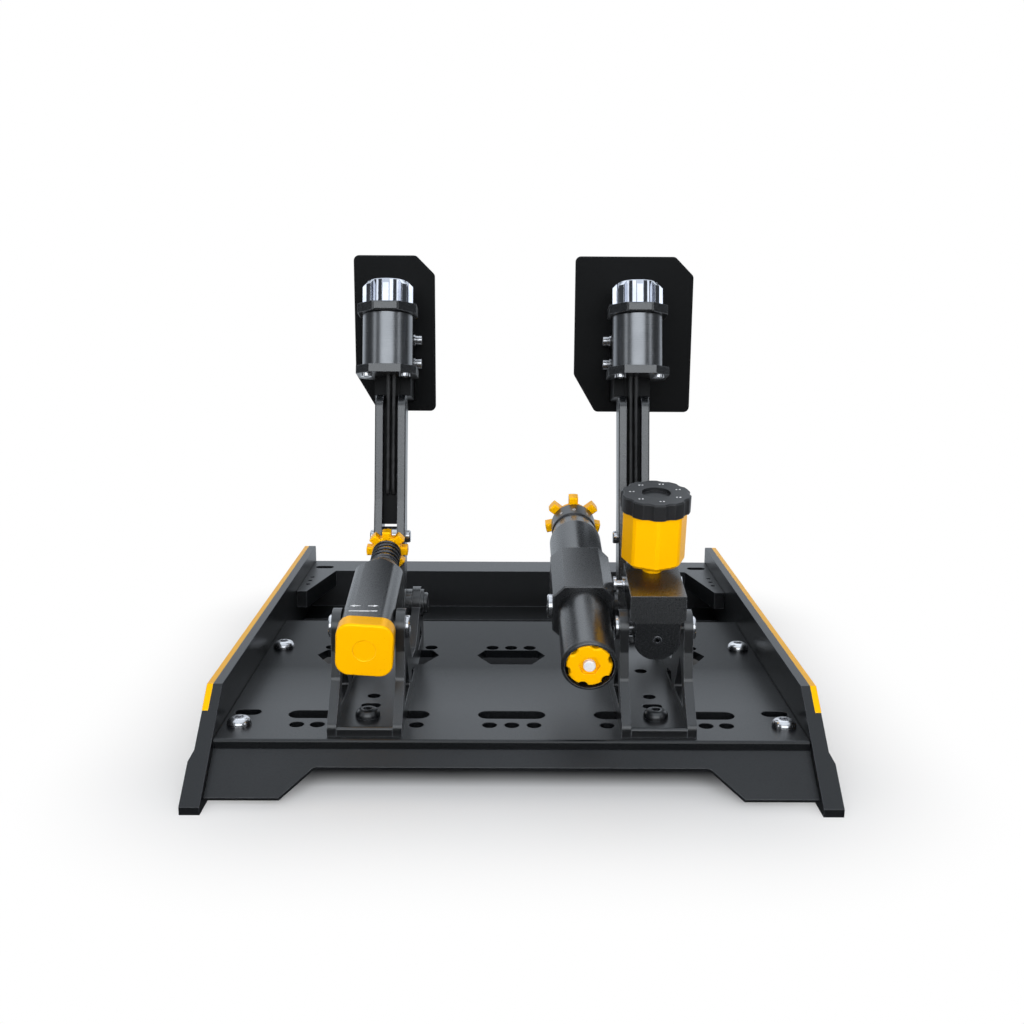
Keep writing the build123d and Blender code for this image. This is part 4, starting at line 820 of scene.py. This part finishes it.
@dataclass
class BrakeUnit:
    """Brake cylinders: dots on the reservoir cap and figures on the dial."""

    x: float = 0.093
    pivot: Pair = TRUNNION
    rise: float = CYLINDER_RISE
    reservoir_along: float = 0.028
    block_top: float = 0.0286
    neck: float = 0.0074
    pot: float = 0.0367
    cap: float = 0.011
    gap: float = 0.0002
    dot_circle: float = 0.0158
    dot_pairs: int = 7
    first_pair: float = 0.35
    dot_shift: float = 0.0011
    dot_radius: float = 0.00065
    dot_sides: int = 10
    slave_x: float = 0.047
    slave_start: Pair = (-0.197, 0.0846)
    slave_rise: float = math.radians(12.5)
    dial_from: float = 0.190
    dial_half: float = 0.006
    dial_radius: float = 0.0166
    figures: int = 10
    figure_size: float = 0.0048
    figure_lift: float = 0.00006
    figure_smoothness: int = 3

    def cap_marks(self) -> bpy.types.Object:
        """Pairs of small dots round the cap's top face.

        Each dot is a flat plate of dot_sides; pair k stands at first_pair + 2 pi k / dot_pairs.

        Returns:
            The marks.
        """
        stencil = MarkStencil()
        turn = np.linspace(0, 2 * np.pi, self.dot_sides, endpoint=False)
        dot = self.dot_radius * np.column_stack([np.cos(turn), np.sin(turn)])
        for k in range(self.dot_pairs):
            angle = 2 * math.pi * k / self.dot_pairs + self.first_pair
            centre = self.dot_circle * np.array([math.cos(angle), math.sin(angle)])
            for shift in (-self.dot_shift, self.dot_shift):
                stencil.outlines.append(dot + centre + np.array([shift, 0.0]))
        points, faces = stencil.mesh()
        axle = Axle(np.array([self.x, *self.pivot]), self.rise)
        height = self.block_top + self.neck + self.pot + self.gap + self.cap + INK_GAP
        placed = axle.laid(points, self.reservoir_along, height)
        return Piece.make("cap_marks", placed, faces, "pale_ink", Body.FLUID_CAP,
                          "black_anodised", smooth=False)

    def dial_figures(self) -> bpy.types.Object:
        """Figures 0 to 9 round the dial ring, wrapped on its cylinder.

        A figure's flat point (a, b) goes to the angle pi / 2 - 2 pi k / figures - a / radius and
        to the distance b from the ring's middle along the axis.

        Returns:
            The figures.
        """
        axle = Axle(np.array([self.slave_x, *self.slave_start]), self.slave_rise)
        points: list[np.ndarray] = []
        faces: Faces = []
        count = 0
        for k in range(self.figures):
            flat = self.figure(str(k))
            co = np.zeros(len(flat.vertices) * 3)
            flat.vertices.foreach_get("co", co)
            co = co.reshape(-1, 3)
            turn = np.pi / 2 - 2 * np.pi * k / self.figures - co[:, 0] / self.dial_radius
            along = self.dial_from + self.dial_half + co[:, 1]
            points.append(axle.point(along, self.dial_radius + self.figure_lift, turn))
            corners = np.zeros(len(flat.loops), dtype=np.int32)
            flat.loops.foreach_get("vertex_index", corners)
            starts = np.zeros(len(flat.polygons), dtype=np.int32)
            flat.polygons.foreach_get("loop_start", starts)
            faces += [tuple(face.tolist()) for face in np.split(corners + count, starts[1:])]
            count += len(co)
            bpy.data.meshes.remove(flat)
        return Piece.make("dial_figures", np.vstack(points), faces, "pale_ink", Body.BRAKE_UNIT,
                          "black_anodised", smooth=False)

    def figure(self, text: str) -> bpy.types.Mesh:
        """Makes the flat mesh of a figure, centred on the origin.

        Args:
            text: The figure.

        Returns:
            The mesh.
        """
        name = f"figure_{text}"
        curve = bpy.data.curves.new(name, "FONT")
        curve.body = text
        curve.size = self.figure_size
        curve.align_x = "CENTER"
        curve.align_y = "CENTER"
        curve.resolution_u = self.figure_smoothness
        holder = bpy.data.objects.new(name, curve)
        bpy.context.scene.collection.objects.link(holder)
        flat = bpy.data.meshes.new_from_object(holder)
        bpy.data.objects.remove(holder)
        return flat


class CadDress:
    """Gives every carried-over node its finish."""

    SPECIAL: dict[str, str] = {
        "base_plate": "plate_coat",
        "side_rail_left": "rail_coat",
        "side_rail_right": "rail_coat",
        "heel_beam": "rail_coat",
        "toe_skirt": "skirt_coat",
        "accent_strip_left": "yellow_anodised",
        "accent_strip_right": "yellow_anodised",
        "throttle_pad": "pad_coat",
        "brake_pad": "pad_coat",
        "throttle_star_knob": "yellow_anodised",
        "slave_far_knob": "yellow_anodised",
        "brake_master": "black_machined",
        "slave_body": "black_machined",
        "slave_tube": "black_machined",
        "throttle_housing": "black_machined",
        "throttle_motor_mount": "black_machined",
        "throttle_motor_clamp": "black_machined",
        "brake_motor_mount": "black_machined",
        "brake_motor_clamp": "black_machined",
        "reservoir_cap": "cap_plastic",
        "slave_set_screw": "satin_nut",
        # The cores between the arm plates take a darker black, a painted shade of the gap.
        "throttle_arm_core": "painted_shade_black",
        "brake_arm_core": "painted_shade_black",
        "throttle_arm_left": "arm_edge",
        "throttle_arm_right": "arm_edge",
        "brake_arm_left": "arm_edge",
        "brake_arm_right": "arm_edge",
    }
    BY_SLOT: dict[str, str] = {
        "orange_strip": "yellow_anodised",
        "yellow_anodised": "yellow_anodised",
        "bright_steel": "bright_steel",
        "spring_steel": "spring_steel",
        "grey_aluminium": "can_metal",
        "chrome": "chrome",
        "lead_rubber": "lead_rubber",
        "black_coated": "rail_coat",
        "black_anodised": "black_anodised",
    }

    def dress(self) -> None:
        """Assigns a finish to the material slots of every node."""
        slots = {part["node"]: part["material_slot"] for part in frame["record"]["subparts"]}
        for name, node in frame["nodes"].items():
            finish = self.SPECIAL.get(name) or self.BY_SLOT[slots[name]]
            material = WARDROBE.get(finish)
            if not node.data.materials:
                node.data.materials.append(material)
            for index in range(len(node.data.materials)):
                node.data.materials[index] = material
            log.info("node %s wears %s", name, finish)


@dataclass(frozen=True)
class Lamp:
    """A soft rectangular lamp that faces a point above the origin; its power is in watts."""

    name: str
    place: Vec3
    size: Pair
    power: float
    aim: float = 0.15
    tint: Tint = (0.9, 0.95, 1.0)

    def add(self) -> None:
        """Puts the lamp in the scene."""
        data = bpy.data.lights.new(self.name, "AREA")
        data.shape = "RECTANGLE"
        data.size, data.size_y = self.size
        data.energy = self.power
        data.color = self.tint
        lamp = bpy.data.objects.new(self.name, data)
        lamp.location = self.place
        facing = Vector((0.0, 0.0, self.aim)) - Vector(self.place)
        lamp.rotation_euler = facing.to_track_quat("-Z", "Y").to_euler()
        bpy.context.scene.collection.objects.link(lamp)


@dataclass
class Studio:
    """Pale floor, soft lamps, white backdrop and the camera at the photograph's place.

    The lamps are a wide box in front, above and behind the camera, one high behind the object
    and a weak one on each side. The ramps for the sides, toe and heel give the share of dark paint
    under the base plate, a painted shade; the one named shade_ the share of plain white, and the
    rest the strength of light that a ray sees.
    """

    camera_place: Vec3 = (-0.00419, -0.88063, 0.32608)
    pitch: float = math.radians(11.98)
    yaw: float = math.radians(0.28)
    roll: float = math.radians(-0.33)
    focal_share: float = 1180.0 / 1024.0
    sensor: float = 36.0
    clip: Pair = (0.01, 60.0)
    floor_half: float = 9.0
    floor_rough: float = 0.8
    floor_specular: float = 0.1
    paint: Tint = (0.9, 0.9, 0.91)
    # Dark paint under the base plate, and the ramps that place it: painted shade.
    paint_under: Tint = (0.06, 0.063, 0.068)
    under_sides: Ramp = Ramp(0.19, 0.2, 1.0, 0.0)
    under_toe: Ramp = Ramp(-0.185, -0.16)
    under_heel: Ramp = Ramp(0.18, 0.21, 1.0, 0.0)
    shade_half: Pair = (0.13, 0.155)
    shade_fade: Ramp = Ramp(0.0, 0.19, smooth=True)
    floor_diffuse: Ramp = Ramp(-0.75, -0.45, 3.8, 0.24)
    floor_glossy: Ramp = Ramp(-0.1, 0.5, 0.05, 0.85)
    sky_glossy: Ramp = Ramp(0.35, 0.7, 0.08, 1.0, smooth=True)
    sky_ceiling: Ramp = Ramp(0.66, 0.9, 0.0, 1.15, smooth=True)
    sky_diffuse: Ramp = Ramp(-1.0, -0.6, 4.8, 0.28, smooth=True)
    lamps: tuple[Lamp, ...] = (
        Lamp("box_front", (0.0, -2.4, 1.25), (3.0, 1.6), 29.0),
        Lamp("box_behind", (0.0, 1.8, 2.3), (3.0, 1.2), 7.0, aim=0.1),
        Lamp("box_left", (-2.2, -1.2, 1.2), (0.5, 1.2), 3.0),
        Lamp("box_right", (2.2, -1.2, 1.2), (0.5, 1.2), 3.0),
    )

    def camera(self) -> bpy.types.Object:
        """Makes the camera from its pitch, yaw and roll.

        Returns:
            The camera, which is also the scene's.
        """
        ahead = Vector((math.sin(self.yaw) * math.cos(self.pitch), math.cos(self.yaw) * math.cos(self.pitch),
                        -math.sin(self.pitch)))
        level = Vector((math.cos(self.yaw), -math.sin(self.yaw), 0.0))
        upright = level.cross(ahead)
        right = level * math.cos(self.roll) - upright * math.sin(self.roll)
        up = upright * math.cos(self.roll) + level * math.sin(self.roll)
        data = bpy.data.cameras.new("photo_camera")
        data.sensor_width = self.sensor
        data.lens = self.focal_share * self.sensor
        data.clip_start, data.clip_end = self.clip
        camera = bpy.data.objects.new("photo_camera", data)
        turn = Matrix((right, up, -ahead)).transposed().to_4x4()
        camera.matrix_world = Matrix.Translation(self.camera_place) @ turn
        bpy.context.scene.collection.objects.link(camera)
        bpy.context.scene.camera = camera
        return camera

    def floor(self) -> bpy.types.Object:
        """Makes a wide floor that fades from pale paint to plain white away from the object.

        Returns:
            The floor.
        """
        half = self.floor_half
        corners = [(-half, -half, 0), (half, -half, 0), (half, half, 0), (-half, half, 0)]
        mesh = bpy.data.meshes.new("studio_floor")
        mesh.from_pydata(corners, [], [(0, 1, 2, 3)])
        plane = bpy.data.objects.new("studio_floor", mesh)
        bpy.context.scene.collection.objects.link(plane)
        mesh.materials.append(self.floor_material())
        return plane

    def floor_material(self) -> bpy.types.Material:
        """Pale paint near the object and plain white further out, to the camera.

        The share of plain white rises with the distance from a rectangle under the object, and
        under the base plate the paint is dark, a painted shade. A glossy ray sees the floor dark in
        front and pale behind, and a diffuse ray sees it brightest in front.

        Returns:
            The material.
        """
        sheet = MaterialSheet("studio_floor")
        sheet.level("Roughness", self.floor_rough)
        sheet.level("Specular IOR Level", self.floor_specular)
        axes = sheet.axes("Object")
        # Paint that turns dark under the base plate is painted shade.
        sheet.paint(sheet.blend(self.under_share(sheet, axes), self.paint, self.paint_under))
        seen = sheet.choose(self.white_share(sheet, axes), "Result", sheet.shader, sheet.glow(WHITE))
        to_diffuse = sheet.glow(WHITE, sheet.spread(axes, "Y", self.floor_diffuse))
        to_glossy = sheet.glow(COOL, sheet.spread(axes, "Y", self.floor_glossy))
        path = sheet.add("ShaderNodeLightPath")
        unseen = sheet.choose(path, "Is Diffuse Ray", seen, to_diffuse)
        both = sheet.choose(path, "Is Glossy Ray", unseen, to_glossy)
        sheet.join(both, "Shader", sheet.output, "Surface")
        return sheet.material

    def under_share(self, sheet: MaterialSheet, axes: Node) -> Node:
        """Share of dark paint, a painted shade: 1 under the base plate, falling to 0 past its four sides.

        Args:
            sheet: Sheet of the floor's material.
            axes: Node that gives the place.

        Returns:
            The Math node.
        """
        inside = sheet.spread(sheet.compute("ABSOLUTE", (axes, "X")), "Value", self.under_sides)
        after_toe = sheet.spread(axes, "Y", self.under_toe)
        before_heel = sheet.spread(axes, "Y", self.under_heel)
        along = sheet.compute("MULTIPLY", (after_toe, "Result"), (before_heel, "Result"))
        return sheet.compute("MULTIPLY", (along, "Value"), (inside, "Result"))

    def white_share(self, sheet: MaterialSheet, axes: Node) -> Node:
        """Share of plain white, by the distance d from a rectangle of half sizes h.

        d = length of (max(|x| - h.x, 0), max(|y| - h.y, 0)).

        Args:
            sheet: Sheet of the floor's material.
            axes: Node that gives the place.

        Returns:
            The Map Range node.
        """
        beyond = sheet.add("ShaderNodeCombineXYZ")
        for axis, half in zip("XY", self.shade_half):
            reach = sheet.compute("ABSOLUTE", (axes, axis))
            past = sheet.compute("SUBTRACT", (reach, "Value"), half)
            sheet.join(sheet.compute("MAXIMUM", (past, "Value"), 0.0), "Value", beyond, axis)
        outside = sheet.add("ShaderNodeVectorMath", operation="LENGTH")
        sheet.join(beyond, "Vector", outside, 0)
        return sheet.spread(outside, "Value", self.shade_fade)

    def world(self) -> None:
        """White to the camera; to glossy rays pale behind and above; to diffuse rays bright in front.

        A glossy ray sees the greater of a ramp on its direction's Y and the soft ceiling's on its
        Z; a diffuse ray sees a ramp on Y. Importance sampling is off, because it would light the
        object without regard to the kind of ray.
        """
        world = bpy.data.worlds.new("studio_world")
        bpy.context.scene.world = world
        world.use_nodes = True
        sheet = NodeSheet(world.node_tree)
        output = sheet.add("ShaderNodeOutputWorld")
        axes = sheet.axes("Generated")
        wall = sheet.spread(axes, "Y", self.sky_glossy)
        ceiling = sheet.spread(axes, "Z", self.sky_ceiling)
        greater = sheet.compute("MAXIMUM", (wall, "Result"), (ceiling, "Result"))
        to_glossy = sheet.glow(COOL, greater, SKY)
        to_diffuse = sheet.glow(WHITE, sheet.spread(axes, "Y", self.sky_diffuse), SKY)
        path = sheet.add("ShaderNodeLightPath")
        plain = sheet.compute("MAXIMUM", (path, "Is Camera Ray"), (path, "Is Transmission Ray"))
        unseen = sheet.choose(path, "Is Glossy Ray", to_diffuse, to_glossy)
        both = sheet.choose(plain, "Value", unseen, sheet.glow(WHITE, kind=SKY))
        sheet.join(both, "Shader", output, "Surface")
        world.cycles.sampling_method = "NONE"

    def build(self) -> None:
        """Sets the stage up."""
        self.camera()
        self.floor()
        self.world()
        for lamp in self.lamps:
            lamp.add()
        bpy.context.scene.view_settings.view_transform = "Standard"


def main() -> None:
    """Builds the stage, the small pieces and the finishes."""
    logging.basicConfig(level=logging.INFO, format="%(name)s: %(message)s")
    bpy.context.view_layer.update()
    Studio().build()
    CadDress().dress()
    throttle = ThrottleUnit()
    throttle.spring()
    throttle.marks()
    brake = BrakeUnit()
    brake.cap_marks()
    brake.dial_figures()


if __name__ == "__main__":
    main()
